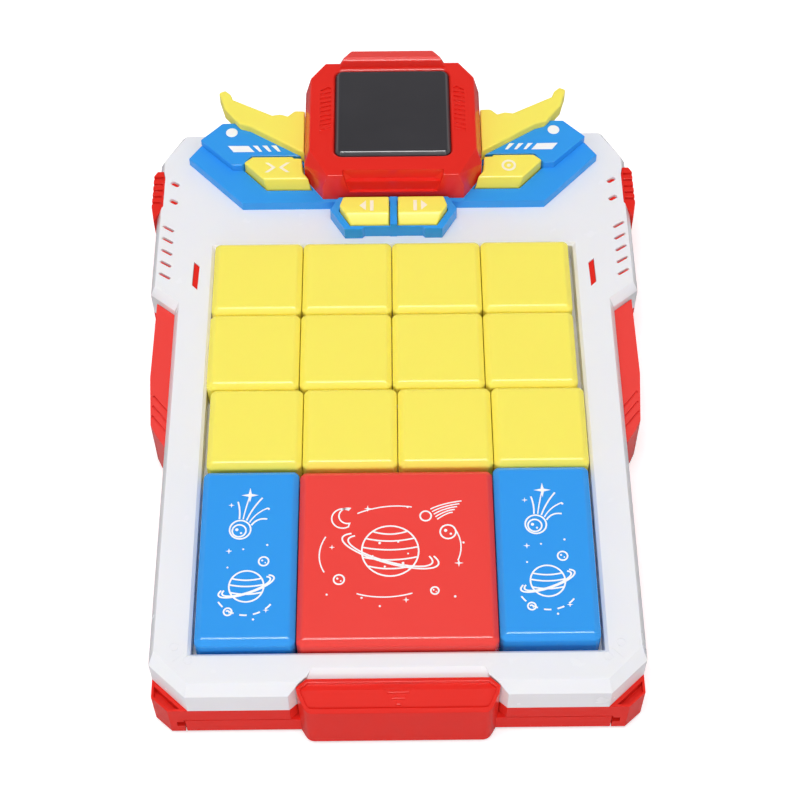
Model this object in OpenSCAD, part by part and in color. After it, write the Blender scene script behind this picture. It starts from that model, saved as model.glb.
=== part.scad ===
// Electronic sliding-block puzzle console: a tray of sliding blocks in a two-part case,
// with a raised display head, winged button deck and a storage drawer under the tray.
// X runs across, +Y towards the display head, +Z up. The origin is at the bottom centre.

/* [Blocks and tray] */
// Side of one square cell of the tray
cell = 30; // [27:0.5:33]
// Rows of single blocks behind the large blocks
single_rows = 3; // [2:1:4]
// Gap kept between neighbouring blocks
block_gap = 0.2; // [0.1:0.05:0.4]
// Free play of all blocks together, across and along the tray
tray_play = 2.2; // [1.2:0.1:3]
// Height of a block
block_h = 11.7; // [10:0.1:14]
// Wall of a hollow block
block_wall = 2.4; // [1.6:0.1:3]
// Size of the corner cut of a block in plan
block_corner = 1.3; // [0.8:0.1:4]
// Width and height of the bevel round a block's top
block_bevel = 1.8; // [1:0.1:3]
// Depth of the tray below the case top
tray_depth = 8; // [6:0.5:9]
// Thickness of the tray floor and tray walls
tray_wall = 2; // [1.5:0.1:2.5]

/* [Case] */
// Width of the frame between the tray and the case side
side_frame = 12.5; // [11.5:0.5:16]
// Depth of the frame between the tray and the case front
front_frame = 12.8; // [12:0.2:16]
// Step out from the narrow front part to the wide rear part, each side
shoulder_step = 8.5; // [7:0.5:12]
// Height of the base shell
base_h = 14.5; // [14:0.5:18]
// Height of the upright skirt of the top shell
skirt_h = 9.5; // [8.5:0.5:12]
// Height of the slope round the case top
slope_h = 3; // [2.5:0.1:3.5]
// Run of that slope at the front
slope_front = 3.2; // [1.5:0.1:4]
// Run of that slope at the sides and the rear
slope_side = 1.6; // [0.8:0.1:2]
// Wall of the two case shells
wall = 2; // [1.5:0.1:2.4]
// Thickness of the case top
top_t = 2.5; // [2:0.1:3]
// Length of the case behind the tray, up to the rear wall
rear_reach = 52.1; // [50:0.5:56]
// Diameter of the rubber feet
foot_d = 9; // [7:0.5:10]
// Height of the feet under the base
foot_h = 1; // [0.6:0.1:2]

/* [Side details] */
// Number of slots on each side of the case top
slot_count = 5; // [3:1:5]
// Distance between those slots
slot_pitch = 5.1; // [4:0.1:5.5]
// Width of a slot
slot_w = 1.1; // [0.8:0.1:1.6]
// Distance the side grips stand out from the case
grip_out = 6.9; // [4:0.1:9]
// Height of the top of the side grips over the base underside
grip_h = 21.5; // [12:0.5:22]
// Distance the ribbed side pieces stand out from the case
rib_out = 2.1; // [1:0.1:4]
// Number of ribs on a ribbed side piece
rib_count = 5; // [3:1:7]

/* [Storage drawer] */
// Length of the drawer behind its front
drawer_len = 88; // [60:1:95]
// Distance the drawer opens
drawer_travel = 66; // [30:1:80]
// Half width of the low drawer front
drawer_half = 63.9; // [56:0.1:64]
// Height of the low drawer front
drawer_front_h = 7.5; // [6:0.5:9]
// Half width of the pull at its widest
pull_half = 29.8; // [24:0.2:30]
// Drop of the pull's top below the case top
pull_drop = 0.4; // [0.2:0.1:1.5]
// Fall of the pull's face from its top to its front edge
pull_fall = 6.3; // [4:0.1:8]
// Distance the pull stands out in front of the case
pull_out = 3.9; // [2:0.1:8]
// Wall and floor of the drawer
drawer_wall = 1.6; // [1.2:0.1:2]

/* [Wings and buttons] */
// Thickness of the lower wing deck
deck_t = 3.6; // [3:0.1:5]
// Height of the arrow button surround over the case top
surround_h = 5; // [4.5:0.1:7]
// Thickness of the upper wing caps
cap_t = 2.9; // [2:0.1:4]
// Thickness of the horns
horn_t = 5; // [4:0.1:8]
// Height of the horn tops over the wing caps
horn_rise = 3; // [2:0.1:4]
// Height of the wing buttons over the deck
wing_key_rise = 3.9; // [2.5:0.1:5]
// Height of the arrow buttons over their surround
arrow_key_rise = 3; // [2:0.1:4]
// Travel of the buttons
key_travel = 1; // [0.5:0.1:1.1]
// Diameter of the button stems
stem_d = 4; // [3:0.1:5]

/* [Display head] */
// Height of the head over the wing deck
head_h = 12.2; // [11.5:0.1:16]
// Width of the head beside the screen window
head_border = 10.6; // [10:0.1:10.8]
// Length of the head behind the screen window
head_back_border = 3.7; // [3.4:0.1:4.4]
// Overhang of the head past the case tail at each side
head_side_overhang = 2.6; // [2.4:0.1:4]
// Overhang of the head past the case tail at the rear
head_rear_overhang = 2.4; // [2:0.1:4]
// Inward lean of the head's flanks at their top
head_lean = 1.9; // [0.5:0.1:2]
// Depth of the leaning flanks under the head's top
head_lean_drop = 4.8; // [3:0.1:6]
// Thickness of the head's walls and roof
head_wall = 2; // [1.6:0.1:2.4]
// Half width of the screen window's top face
window_half = 18.8; // [17:0.1:19]
// Length of the screen window's top face
window_len = 37.3; // [34:0.1:38.5]
// Width of the bevel round the screen window
window_bevel = 1.2; // [0.8:0.1:1.6]
// Corner radius at the foot of the screen window
window_corner = 2.6; // [1:0.1:4]
// Height of the screen window over the head
window_rise = 0.7; // [0.3:0.1:2]
// Height of the crown over the head
crown_rise = 3.2; // [1:0.1:4]

/* [Batteries and electronics] */
// Diameter of one battery cell
battery_d = 10.5; // [10.5:0.1:10.8]
// Length of one battery cell
battery_len = 44.5; // [42:0.1:46]
// Number of battery cells
battery_count = 3; // [2:1:3]
// Thickness of the circuit boards
board_t = 1.6; // [1:0.1:1.6]
// Diameter of the speaker
speaker_d = 28; // [20:1:30]
// Diameter of the case screw shanks
screw_d = 2.6; // [2:0.1:3]

/* [Fit] */
// Clearance between fixed pieces that sit beside each other
seat_gap = 0.1; // [0.05:0.05:0.2]
// Clearance beside pieces that move
slide_gap = 0.3; // [0.2:0.05:0.4]

/* [Hidden] */
$fn = 48;
eps = 0.01;
columns = 4;
small_wire_d = 1.2;

// Heights of the case levels
base_z = foot_h;
split_z = base_z + base_h;
skirt_z = split_z + skirt_h;
case_z = skirt_z + slope_h;
tray_z = case_z - tray_depth;
roof_z = case_z - top_t;
deck_z = case_z + deck_t;
surround_z = case_z + surround_h;
cap_z = deck_z + cap_t;
horn_z = cap_z + horn_rise;
head_z = deck_z + head_h;
window_z = head_z + window_rise;
crown_z = head_z + crown_rise;

// Head plan, measured from the middle and from the tray's back
head_front = 17.9;
window_front = head_front + 10.3;
head_half = window_half + window_bevel + head_border;
head_back = window_front + window_len + window_bevel + head_back_border;
tail_half = head_half - head_side_overhang;
tail_reach = head_back - head_rear_overhang;
crown_out = 4.1;
crown_reach = head_back + crown_out;
crown_front = head_back - 2.4;
crown_ridge = head_back - 0.3;
crown_half = window_half + 0.3;

// Plan sizes
tray_half = (columns * cell - block_gap + tray_play) / 2;
tray_len = (single_rows + 2) * cell - block_gap + tray_play;
narrow_half = tray_half + side_frame;
wide_half = narrow_half + shoulder_step;
total_len = pull_out + front_frame + tray_len + crown_reach;
front_y = -total_len / 2 + pull_out;
tray_front_y = front_y + front_frame;
tray_back_y = tray_front_y + tray_len;
rear_y = tray_back_y + rear_reach;
tail_y = tray_back_y + tail_reach;

// Pushes of the rows across the tray and of the large blocks along it, as shares of the play
row_push = [-0.75, -0.95, 0.6, 0];
long_push = [-0.1, 0.75];
square_push = -0.55;
side_play = tray_play / 2 - 0.1;

// Case plan: corner cuts, shoulder and the notch for the drawer pull
front_cut = [11.2, 10.4];
base_front_cut = [5.1, 4.5];
shoulder_rise = 0.8;
shoulder_in_y = tray_back_y - 24.7;
shoulder_out_y = shoulder_in_y + shoulder_step * shoulder_rise;
rear_cut = [7, 13];
notch_depth = 4.8;
notch_narrow = pull_half - 2.8;
notch_wide = pull_half + 2.4;
scoop_run = 2.9;
scoop_depth = 2;

// Mirrors a right-hand run of points to the left to close an outline
function both_sides(pts) = concat(pts, [for (i = [len(pts) - 1:-1:0]) [-pts[i][0], pts[i][1]]]);

// Moves points given behind the tray to their place
function behind_tray(pts) = [for (p = pts) [p[0], p[1] + tray_back_y]];

function case_side(cut, inset, front_inset) = [
    [narrow_half - cut[0] - inset * 0.5, front_y + front_inset],
    [narrow_half - inset, front_y + cut[1] + front_inset],
    [narrow_half - inset, shoulder_in_y],
    [wide_half - inset, shoulder_out_y],
    [wide_half - inset, rear_y - rear_cut[1]],
    [wide_half - rear_cut[0] - inset, rear_y - inset],
    [tail_half + 4, rear_y - inset],
    [tail_half + 4 - inset, rear_y + 6],
    [tail_half - inset, tail_y - inset]
];

// The narrow part runs on under the wide part, up to the shoulder's outer corner
narrow_side = concat([for (i = [0:1]) case_side(front_cut, 0, 0)[i]], [[narrow_half, shoulder_out_y]]);
narrow_side_top = concat([for (i = [0:1]) case_side(front_cut, slope_side, slope_front)[i]],
    [[narrow_half - slope_side, shoulder_out_y]]);
shoulder_slope = 1.6;
wide_side = [for (i = [2:5]) case_side(front_cut, 0, 0)[i]];
wide_side_top = [for (i = [2:5]) case_side(front_cut, slope_side, 0)[i] + [0, i < 4 ? shoulder_slope : 0]];
tail_side = [for (i = [6:8]) case_side(front_cut, 0, 0)[i]];

// The notch in the case front that the drawer pull stands in
notch_pts = both_sides([
    [notch_wide + 6, front_y - 6],
    [notch_wide, front_y],
    [pull_half + 0.4, front_y + 1.8],
    [notch_narrow, front_y + notch_depth]
]);

// Wing and button outlines on the right side, measured from the middle and from the tray's back
deck_side = [[22, 16.4], [52.1, 16.4], [71.6, 37.2], [67.7, 42.9], [60.3, 50.6],
    [54.4, 50.6], [tail_half + 1, 50.6], [tail_half - 1, tail_reach - 1]];
surround_side = [[9.9, 4.2], [10.8, 3.3], [16.6, 3.3], [21.7, 12], [18.8, 17.4]];
cap_side = [[67.6, 43.1], [60.3, 50.7], [54.4, 50.7], [head_half + slide_gap, 50.7],
    [head_half + slide_gap, 34.9], [35.4, 35.3], [49.4, 35.3], [52.4, 31.2], [56, 31.2]];
wing_key_pts = [[43.6, 22.5], [51.8, 31.6], [49, 34.2], [35.1, 34.2], [34.4, 33.5],
    [head_half + 1.1, 33.3], [head_half + 0.6, 27], [head_half - 2.3, 22.5]];
arrow_key_pts = [[1.5, 5], [14.7, 5], [18.4, 11.4], [17.2, 15.3], [1.5, 15.3]];
horn_pts = [[head_half + slide_gap, 34.1], [50, 46.6], [54.1, 48], [59.5, 55.2], [61.8, 62.9],
    [59.6, 64], [57.5, 62], [56.6, 59.5], [42.5, 51.9], [39.7, 52.4], [37, 51.5],
    [34.6, 53.9], [head_half + slide_gap, 53.7]];
horn_peg_at = [[36, 43], [47.5, 48]];
horn_peg_d = 3;
horn_peg_len = 2;
wing_stem_at = [40, 28.5];
arrow_stem_at = [9, 10];

// Button fits
flange_t = 0.8;
flange_out = 0.9;
key_floor_z = case_z + key_travel + 0.2;
dome_h = 1.9;
stem_end_z = roof_z - 0.6;
board_z = stem_end_z - dome_h - board_t;

// Head details
head_side = [[head_half - 6.4, head_front], [head_half, head_front + 9.1],
    [head_half, head_back - 9.7], [head_half - 7, head_back]];
head_top = [[head_half - 6.4 - head_lean, head_front],
    [head_half - head_lean, head_front + 9.1 + 1.5 * head_lean],
    [head_half - head_lean, head_back - 9.7 + head_lean * 9.7 / 7], [head_half - 7, head_back]];
window_seat_z = head_z - 2.8;
seat_ring_t = 1;
seat_ring_in = 2.2;
gasket_t = 0.5;
display_t = 3.2;
display_z = window_seat_z - seat_ring_t - gasket_t - display_t;
display_board_z = display_z - board_t;
head_post_at = [[head_half - 6, head_front + 11.6], [head_half - 6, head_back - 10.4]];
head_post_d = 6;
head_screw_hold = 6;
display_boss_x = window_half + window_bevel + 1.2;
display_boss_at = [[display_boss_x, head_front + 7.2], [display_boss_x, head_back - 5.7]];
display_boss_d = 3.6;
display_screw_hold = 2;
chin_half = 17.5;
chin_foot_half = 14;
chin_foot_taper = 8.6;
chin_y = [head_front - 0.3, head_front + 1, head_front + 2.5];
chin_z = [head_z - 8.6, head_z - 4.3];
chin_back = chin_y[2] + head_wall + 0.2;
window_lip = 0.7;
rib_field_in = window_half + window_bevel + 1.4;
rib_field_y = window_front + 7.4;
rib_field_pts = [[rib_field_in + 0.9, rib_field_y], [rib_field_in + 3.8, rib_field_y + 1.6],
    [rib_field_in + 3.8, rib_field_y + 21.6], [rib_field_in + 1.2, rib_field_y + 23.5],
    [rib_field_in + 0.1, rib_field_y + 22.8], [rib_field_in, rib_field_y + 3]];
small_screw_d = 2;
ribbon_y = 40;
ribbon_half = 5;
ribbon_t = 0.3;

// Screws that hold the case together, from the base underside
post_d = 6.6;
post_x = tray_half + side_frame / 2 + 0.05;
post_behind_front = [19, 104];
rear_post_in = [9, 15];
post_at = [
    [post_x, front_y + post_behind_front[0]],
    [post_x, front_y + post_behind_front[1]],
    [wide_half - rear_post_in[0], rear_y - rear_post_in[1]]
];
head_of_screw_d = screw_d * 2;
head_of_screw_h = 1.8;
post_floor_z = base_z + 9;
case_screw_hold = 7;
front_foot_in = 32;
rear_foot_in = [11, 28];
foot_at = [
    [tray_half + side_frame / 2, front_y + front_foot_in],
    [wide_half - rear_foot_in[0], rear_y - rear_foot_in[1]]
];
foot_sink = 0.5;
board_half = 56;
board_y0 = tray_wall + 2.4;
board_y1 = rear_reach - 5.1;
board_screw_at = [[board_half - 4, board_y0 + 3.6], [board_half - 4, board_y1 - 3]];
board_post_d = 5;

// Drawer levels
drawer_floor_z = base_z + wall + slide_gap;
drawer_lintel_z = base_z + drawer_front_h + slide_gap;
bin_half = notch_narrow + 0.2;
bin_top_z = split_z - slide_gap - 0.2;
side_wall_top_z = base_z + drawer_front_h - 0.2;
drawer_body_half = drawer_half - 0.9;
guide_z = base_z + wall + 4;
pull_back_y = front_y + notch_depth - slide_gap - 0.1;
drawer_face_t = 2;
pull_top_z = case_z - pull_drop;
pull_front_z = pull_top_z - pull_fall;
pull_brow_y = front_y + 1.5;
pull_corner_r = 3;
pull_corner = [pull_half - 4.5, front_y - pull_out + pull_corner_r];
pull_pts = both_sides(concat(
    [for (a = [-90:15:-30]) pull_corner + pull_corner_r * [cos(a), sin(a)]],
    [[pull_half - 0.3, front_y + 0.3], [pull_half, front_y + 1.6], [notch_narrow - 0.3, pull_back_y]]
));

// Battery box under the tray
cell_gap = 0.5;
cover_t = 1.6;
contact_room = 3;
battery_box_half = battery_len / 2 + contact_room;
battery_box_len = battery_count * (battery_d + cell_gap) + cell_gap;
battery_box_y1 = tray_back_y - 8;
battery_box_y0 = battery_box_y1 - battery_box_len;
battery_axis_z = base_z + cover_t + slide_gap + battery_d / 2;
battery_roof_z = battery_axis_z + battery_d / 2 + 0.4;
box_wall = 1.5;
cover_rim = 2;
cover_screw_at = [0, battery_box_y1 + cover_rim + 2.6];
cover_screw_sink = 0.7;
cover_ear_r = 4;
cover_boss_h = 9;
lead_hole = [8, 2];
lead_hole_x = -battery_box_half + 6;
lead_z = battery_roof_z - lead_hole[1];
speaker_at = [44, 28];
speaker_h = 5;
grille_d = 2;
grille_r = 6;
switch_x = 52;
switch_z = base_z + 6.5;
switch_travel = 4;
knob_w = 5;
knob_h = 3;

// Side detail places
window_cut = [[67.8, -6.1], [65.8, -8], [66.1, -18.1], [68, -16.1]];
slot_first = [wide_half - 4.6, 8.4];
slot_len = 4.7;
slot_turn = 33.7;
oval_at = [[wide_half - 5.7, 28.4], [wide_half - 5.7, 20.4]];
rib_piece = [[wide_half + rib_out - 1.1, 35.1], [wide_half + rib_out, 33], [wide_half + rib_out, 19],
    [wide_half + rib_out - 1.2, 12.3], [wide_half - 0.1, 15.2], [wide_half - 2, 18.5],
    [wide_half - 2, 31.5], [wide_half - 1.2, 35.1]];
rib_piece_z = [case_z - 10, case_z - 1];
rib_field = [20.2, 14];
strip_field = [-23, 31];
oval = [3.4, 1.7];
grip_y = shoulder_in_y - 1.5 * seat_gap;
grip_z0 = base_z + 0.5;
grip_back_half = wide_half - 1.9;
grip_pts = [[narrow_half + seat_gap, seat_gap * shoulder_rise],
    [grip_back_half, (grip_back_half - narrow_half) * shoulder_rise],
    [narrow_half + grip_out, -25.2], [narrow_half + grip_out - 1.4, -43.6],
    [narrow_half + grip_out - 3, -46.9], [narrow_half + seat_gap, -52.7]];

single_names = [for (i = [1:columns * single_rows]) str("single_block_", i)];

// ---- helpers ----

// Places children behind the tray's back edge
module at_tray_back() { translate([0, tray_back_y, 0]) children(); }

// Draws children and their mirror image
module both() {
    children();
    mirror([1, 0, 0]) children();
}

// Upright prism over an outline between two heights
module prism(pts, z0, z1) { translate([0, 0, z0]) linear_extrude(z1 - z0) polygon(pts); }

// Upright prism over an outline grown by a margin
module grown_prism(pts, margin, z0, z1) {
    translate([0, 0, z0]) linear_extrude(z1 - z0) offset(delta = margin) polygon(pts);
}

// Box centred on X
module centred_box(half, y0, y1, z0, z1) {
    translate([-half, y0, z0]) cube([2 * half, y1 - y0, z1 - z0]);
}

// Draws a side profile, given as Y and Z, through the width
module through_width(half) {
    rotate([90, 0, 90]) translate([0, 0, -half]) linear_extrude(2 * half) children();
}

// Slot with round ends, cut or raised along X
module round_slot(len, width, height) {
    linear_extrude(height) {
        square([len - width, width], center = true);
        for (s = [-1, 1]) translate([s * (len - width) / 2, 0]) circle(d = width);
    }
}

// Screw with a pan head below and its shank up
module screw(shank_d, shank_len, head_d, head_h) {
    recess_w = shank_d * 0.3;
    difference() {
        union() {
            cylinder(d = head_d, h = head_h);
            translate([0, 0, head_h]) cylinder(d = shank_d, h = shank_len);
        }
        for (a = [0, 90]) rotate(a) translate([-shank_d / 2, -recess_w / 2, -eps])
            cube([shank_d, recess_w, head_h / 2]);
    }
}

// Insulated wire along a run of points
module wire(pts, d) {
    for (i = [0:len(pts) - 2]) {
        run = pts[i + 1] - pts[i];
        reach = norm(run);
        translate(pts[i])
            rotate([0, acos(run[2] / reach), atan2(run[1], run[0])])
                cylinder(d = d, h = reach, $fn = 16);
    }
    for (i = [1:len(pts) - 2]) translate(pts[i]) sphere(d = d, $fn = 16);
}

// ---- case ----

module case_plan(cut) { polygon(both_sides(case_side(cut, 0, 0))); }

module notch(margin) { offset(delta = margin) polygon(notch_pts); }

module shell_slopes() {
    hull() {
        prism(both_sides(narrow_side), skirt_z - eps, skirt_z);
        prism(both_sides(narrow_side_top), case_z - eps, case_z);
    }
    hull() {
        prism(both_sides(wide_side), skirt_z - eps, skirt_z);
        prism(both_sides(wide_side_top), case_z - eps, case_z);
    }
    prism(both_sides(tail_side), skirt_z - eps, case_z);
}

module tray_box(margin, z0, z1) {
    centred_box(tray_half + margin, tray_front_y - margin, tray_back_y + margin, z0, z1);
}

// Slots and ovals of one side of the case top, and the pads that stand in them
module side_slots(margin, z0, z1) {
    for (i = [0:slot_count - 1])
        translate([slot_first[0], tray_back_y + slot_first[1] - i * slot_pitch, z0])
            rotate(slot_turn) round_slot(slot_len + 2 * margin, slot_w + 2 * margin, z1 - z0);
    for (p = oval_at)
        translate([p[0], tray_back_y + p[1], z0]) rotate(slot_turn)
            round_slot(oval[0] + 2 * margin, oval[1] + 2 * margin, z1 - z0);
}

module side_window(margin, z0, z1) { grown_prism(behind_tray(window_cut), margin, z0, z1); }

// Shallow ring marks near the front corners of the case top
module corner_mark() {
    mark_d = 2.9;
    line = 0.4;
    depth = 0.15;
    dash_half = 2.1;
    for (p = [[narrow_half - 7.7, front_y + 14.7], [narrow_half - 11.9, front_y + 10.3]])
        translate([p[0], p[1], case_z - depth]) difference() {
            cylinder(d = mark_d, h = 1);
            translate([0, 0, -eps]) cylinder(d = mark_d - 2 * line, h = 1 + 2 * eps);
        }
    translate([narrow_half - 9, front_y + 11.4, case_z - depth]) rotate(-45)
        centred_box(dash_half, -line / 2, line / 2, 0, 1);
}

// Finger scoop in the case top behind the drawer pull
module finger_scoop() {
    foot_y = front_y + notch_depth;
    back_y = foot_y + scoop_run;
    foot_half = notch_narrow - 0.3;
    back_half = foot_half - scoop_run * 0.6;
    intersection() {
        through_width(wide_half) polygon([[foot_y - 1, case_z - scoop_depth], [foot_y, case_z - scoop_depth],
            [back_y, case_z], [back_y, case_z + 1], [foot_y - 1, case_z + 1]]);
        prism(both_sides([[foot_half, foot_y - 2], [foot_half, foot_y], [back_half, back_y + 1]]),
            roof_z, case_z + 2);
    }
}

module post_pairs(places) { for (p = places) both() translate([p[0], p[1], 0]) children(); }

module top_shell() {
    lip = 1;
    color("#F1F1F4") difference() {
        union() {
            translate([0, 0, split_z]) linear_extrude(skirt_z - split_z) case_plan(front_cut);
            shell_slopes();
        }
        // Hollow under the roof, round the tray
        difference() {
            translate([0, 0, split_z - eps]) linear_extrude(roof_z - split_z + eps)
                offset(delta = -wall) difference() {
                    case_plan(front_cut);
                    notch(0);
                }
            tray_box(tray_wall, tray_z - tray_wall, case_z);
            post_pairs(post_at) cylinder(d = post_d, h = case_z);
            at_tray_back() post_pairs(board_screw_at)
                translate([0, 0, board_z + board_t]) cylinder(d = board_post_d, h = top_t * 3);
            both() at_tray_back() grown_prism(rib_piece, wall, rib_piece_z[0] - wall, case_z);
        }
        translate([0, 0, split_z - 1]) linear_extrude(case_z) notch(0);
        finger_scoop();
        tray_box(0, tray_z, case_z + 1);
        hull() {
            tray_box(0, case_z - lip, case_z - lip + eps);
            tray_box(lip, case_z, case_z + eps);
        }
        both() side_slots(0, roof_z - 1, case_z + 1);
        both() side_window(0, roof_z - 1, case_z + 1);
        both() at_tray_back() grown_prism(rib_piece, seat_gap, rib_piece_z[0] - seat_gap, case_z + 1);
        both() corner_mark();
        post_pairs(post_at) translate([0, 0, split_z - 1])
            cylinder(d = screw_d + 0.1, h = case_screw_hold + 2);
        at_tray_back() {
            post_pairs(board_screw_at) translate([0, 0, board_z])
                cylinder(d = small_screw_d + 0.1, h = board_t + dome_h + 1.5);
            both() stem_holes(roof_z - 1, case_z + 1);
            post_pairs(head_post_at) translate([0, 0, roof_z - 1])
                cylinder(d = screw_d + 0.2, h = top_t + 2);
            ribbon_hole(roof_z - 1, case_z + 1);
        }
    }
}

module stem_holes(z0, z1) {
    for (p = [wing_stem_at, arrow_stem_at]) translate([p[0], p[1], z0])
        cylinder(d = stem_d + 2 * slide_gap, h = z1 - z0);
}

module ribbon_hole(z0, z1) {
    centred_box(ribbon_half + 1.5, ribbon_y - 2, ribbon_y + 2, z0, z1);
}

module battery_box(margin, z0, z1) {
    centred_box(battery_box_half + margin, battery_box_y0 - margin, battery_box_y1 + margin, z0, z1);
}

// Pocket of the battery cover in the base underside, with the tongue slots at its front
module cover_plan(margin) {
    translate([-battery_box_half - cover_rim - margin, battery_box_y0 - cover_rim - margin])
        square([2 * (battery_box_half + cover_rim + margin), battery_box_len + 2 * (cover_rim + margin)]);
}

module cover_ear(margin) { translate(cover_screw_at) circle(r = cover_ear_r + margin); }

module base_shell() {
    rim = 0.7;
    pocket_z = split_z - 3;
    guide_y1 = front_y + drawer_face_t + drawer_len + 2;
    color("#E8352B") difference() {
        union() {
            difference() {
                translate([0, 0, base_z]) linear_extrude(split_z - base_z) case_plan(base_front_cut);
                translate([0, 0, base_z + wall]) linear_extrude(base_h)
                    offset(delta = -wall) case_plan(front_cut);
            }
            // Fill under the corner ledges, posts, guides, battery box, switch and speaker seats
            post_pairs(post_at) translate([0, 0, base_z]) cylinder(d = post_d, h = base_h);
            both() translate([drawer_body_half + slide_gap, front_y + wall, base_z])
                cube([1.6, guide_y1 - front_y - wall, guide_z + 3 - base_z]);
            battery_box(box_wall, base_z, battery_roof_z + box_wall);
            translate([0, 0, base_z]) linear_extrude(cover_t + 1.4) offset(delta = 1.6) {
                cover_plan(0);
                cover_ear(0);
            }
            translate([cover_screw_at[0], cover_screw_at[1], base_z])
                cylinder(d = 2 * cover_ear_r, h = cover_boss_h);
            at_tray_back() translate([speaker_at[0], speaker_at[1], base_z]) difference() {
                cylinder(d = speaker_d + 4, h = wall + speaker_h);
                translate([0, 0, wall]) cylinder(d = speaker_d + 2 * seat_gap, h = speaker_h + 1);
            }
        }
        // Pull notch and drawer mouth
        translate([0, 0, base_z - 1]) linear_extrude(base_h + 2) notch(0);
        centred_box(bin_half + drawer_wall + slide_gap, front_y - 1, front_y + notch_depth + wall + 1,
            base_z + wall, split_z + 1);
        centred_box(drawer_half + slide_gap, front_y - 1, front_y + drawer_face_t + slide_gap,
            base_z - 1, drawer_lintel_z);
        centred_box(drawer_body_half + slide_gap, front_y - 1, front_y + 12, base_z + wall, drawer_lintel_z);
        both() translate([drawer_half + slide_gap - eps, front_y - 1, base_z + 3.5])
            cube([2.2, 4, 3]);
        // Triangular pockets in the front corners
        both() translate([0, 0, pocket_z]) linear_extrude(base_h) offset(delta = -rim) polygon([
            [narrow_half, front_y + front_cut[1] - rim],
            [narrow_half, front_y + base_front_cut[1]],
            [narrow_half - base_front_cut[0], front_y],
            [narrow_half - front_cut[0] + rim, front_y],
        ]);
        // Screw holes with deep heads
        post_pairs(post_at) translate([0, 0, base_z - 1]) {
            cylinder(d = head_of_screw_d + 0.6, h = post_floor_z - base_z + 1);
            cylinder(d = screw_d + 0.4, h = base_h + 2);
        }
        post_pairs(foot_at) translate([0, 0, base_z - 1])
            cylinder(d = foot_d + 2 * seat_gap, h = 1 + foot_sink);
        // Battery room and cover seat
        battery_box(0, base_z - 1, battery_roof_z);
        translate([0, 0, base_z - 1]) linear_extrude(1 + cover_t + seat_gap) {
            cover_plan(seat_gap);
            cover_ear(seat_gap);
        }
        translate([cover_screw_at[0], cover_screw_at[1], base_z])
            cylinder(d = small_screw_d + 0.1, h = cover_boss_h - 1);
        at_tray_back() translate([speaker_at[0], speaker_at[1], base_z - 1]) {
            cylinder(d = grille_d, h = wall + 2);
            for (a = [0:60:300]) rotate(a) translate([grille_r, 0, 0]) cylinder(d = grille_d, h = wall + 2);
        }
        // Slot for the switch knob
        translate([switch_x - (knob_w + switch_travel) / 2 - slide_gap, rear_y - wall - 1,
            switch_z - knob_h / 2 - slide_gap])
            cube([knob_w + switch_travel + 2 * slide_gap, wall + 2, knob_h + 2 * slide_gap]);
        // Hole for the battery leads
        translate([lead_hole_x, battery_box_y1 - 1, lead_z - lead_hole[1] / 2])
            cube([lead_hole[0], box_wall + 2, lead_hole[1]]);
    }
}

module side_grip() {
    groove = 0.7;
    groove_half = grip_out * 0.72;
    groove_depth = 0.8;
    groove_pitch = 3.85;
    groove_turn = 52;
    first_groove = -36.2;
    grip_top = base_z + grip_h;
    translate([0, grip_y, 0]) difference() {
        prism(grip_pts, grip_z0, grip_top);
        grown_prism([for (p = grip_pts) [p[0] - 1, p[1]]], -wall, grip_z0 + wall, grip_top - wall);
        for (i = [0:2])
            translate([narrow_half + grip_out / 3, first_groove - i * groove_pitch, grip_top - groove_depth])
                rotate(groove_turn) centred_box(groove_half, -groove / 2, groove / 2, 0, 2);
    }
}

module side_grip_left() { color("#E8352B") mirror([1, 0, 0]) side_grip(); }

module side_grip_right() { color("#E8352B") side_grip(); }

module ribbed_trim() {
    rib_pitch = rib_field[1] / rib_count;
    groove = rib_pitch * 0.42;
    depth = 1.1;
    at_tray_back() difference() {
        prism(rib_piece, rib_piece_z[0], rib_piece_z[1]);
        for (i = [0:rib_count - 1])
            translate([wide_half - 1.2, rib_field[0] + i * rib_pitch, rib_piece_z[1] - depth])
                cube([rib_out + 3, groove, depth + 1]);
    }
}

module ribbed_trim_left() { color("#E8352B") mirror([1, 0, 0]) ribbed_trim(); }

module ribbed_trim_right() { color("#E8352B") ribbed_trim(); }

// Red strip under the case top, with raised pads that stand in the slots
module slot_backing() {
    strip_t = 1.2;
    slot_pad_z = case_z - 1;
    window_pad_z = case_z - 0.5;
    x0 = tray_half + tray_wall + 0.5;
    side_slots(-seat_gap, roof_z - strip_t / 2, slot_pad_z);
    side_window(-seat_gap, roof_z - strip_t / 2, window_pad_z);
    difference() {
        translate([0, 0, roof_z - strip_t]) linear_extrude(strip_t) intersection() {
            translate([x0, tray_back_y + strip_field[0]])
                square([wide_half - x0, strip_field[1] - strip_field[0]]);
            offset(delta = -wall - slide_gap) case_plan(front_cut);
        }
        at_tray_back() grown_prism(rib_piece, wall + seat_gap, roof_z - 5, roof_z + 1);
    }
}

module slot_backing_left() { color("#E8352B") mirror([1, 0, 0]) slot_backing(); }

module slot_backing_right() { color("#E8352B") slot_backing(); }

// ---- wings ----

module key_hole(pts, z0, z1) { grown_prism(pts, slide_gap, z0, z1); }

module flange(pts, margin, z0, z1) {
    intersection() {
        grown_prism(pts, flange_out + margin, z0, z1);
        centred_box(wide_half, pts[0][1] - margin, pts[0][1] + wide_half, z0 - 1, z1 + 1);
    }
}

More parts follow.
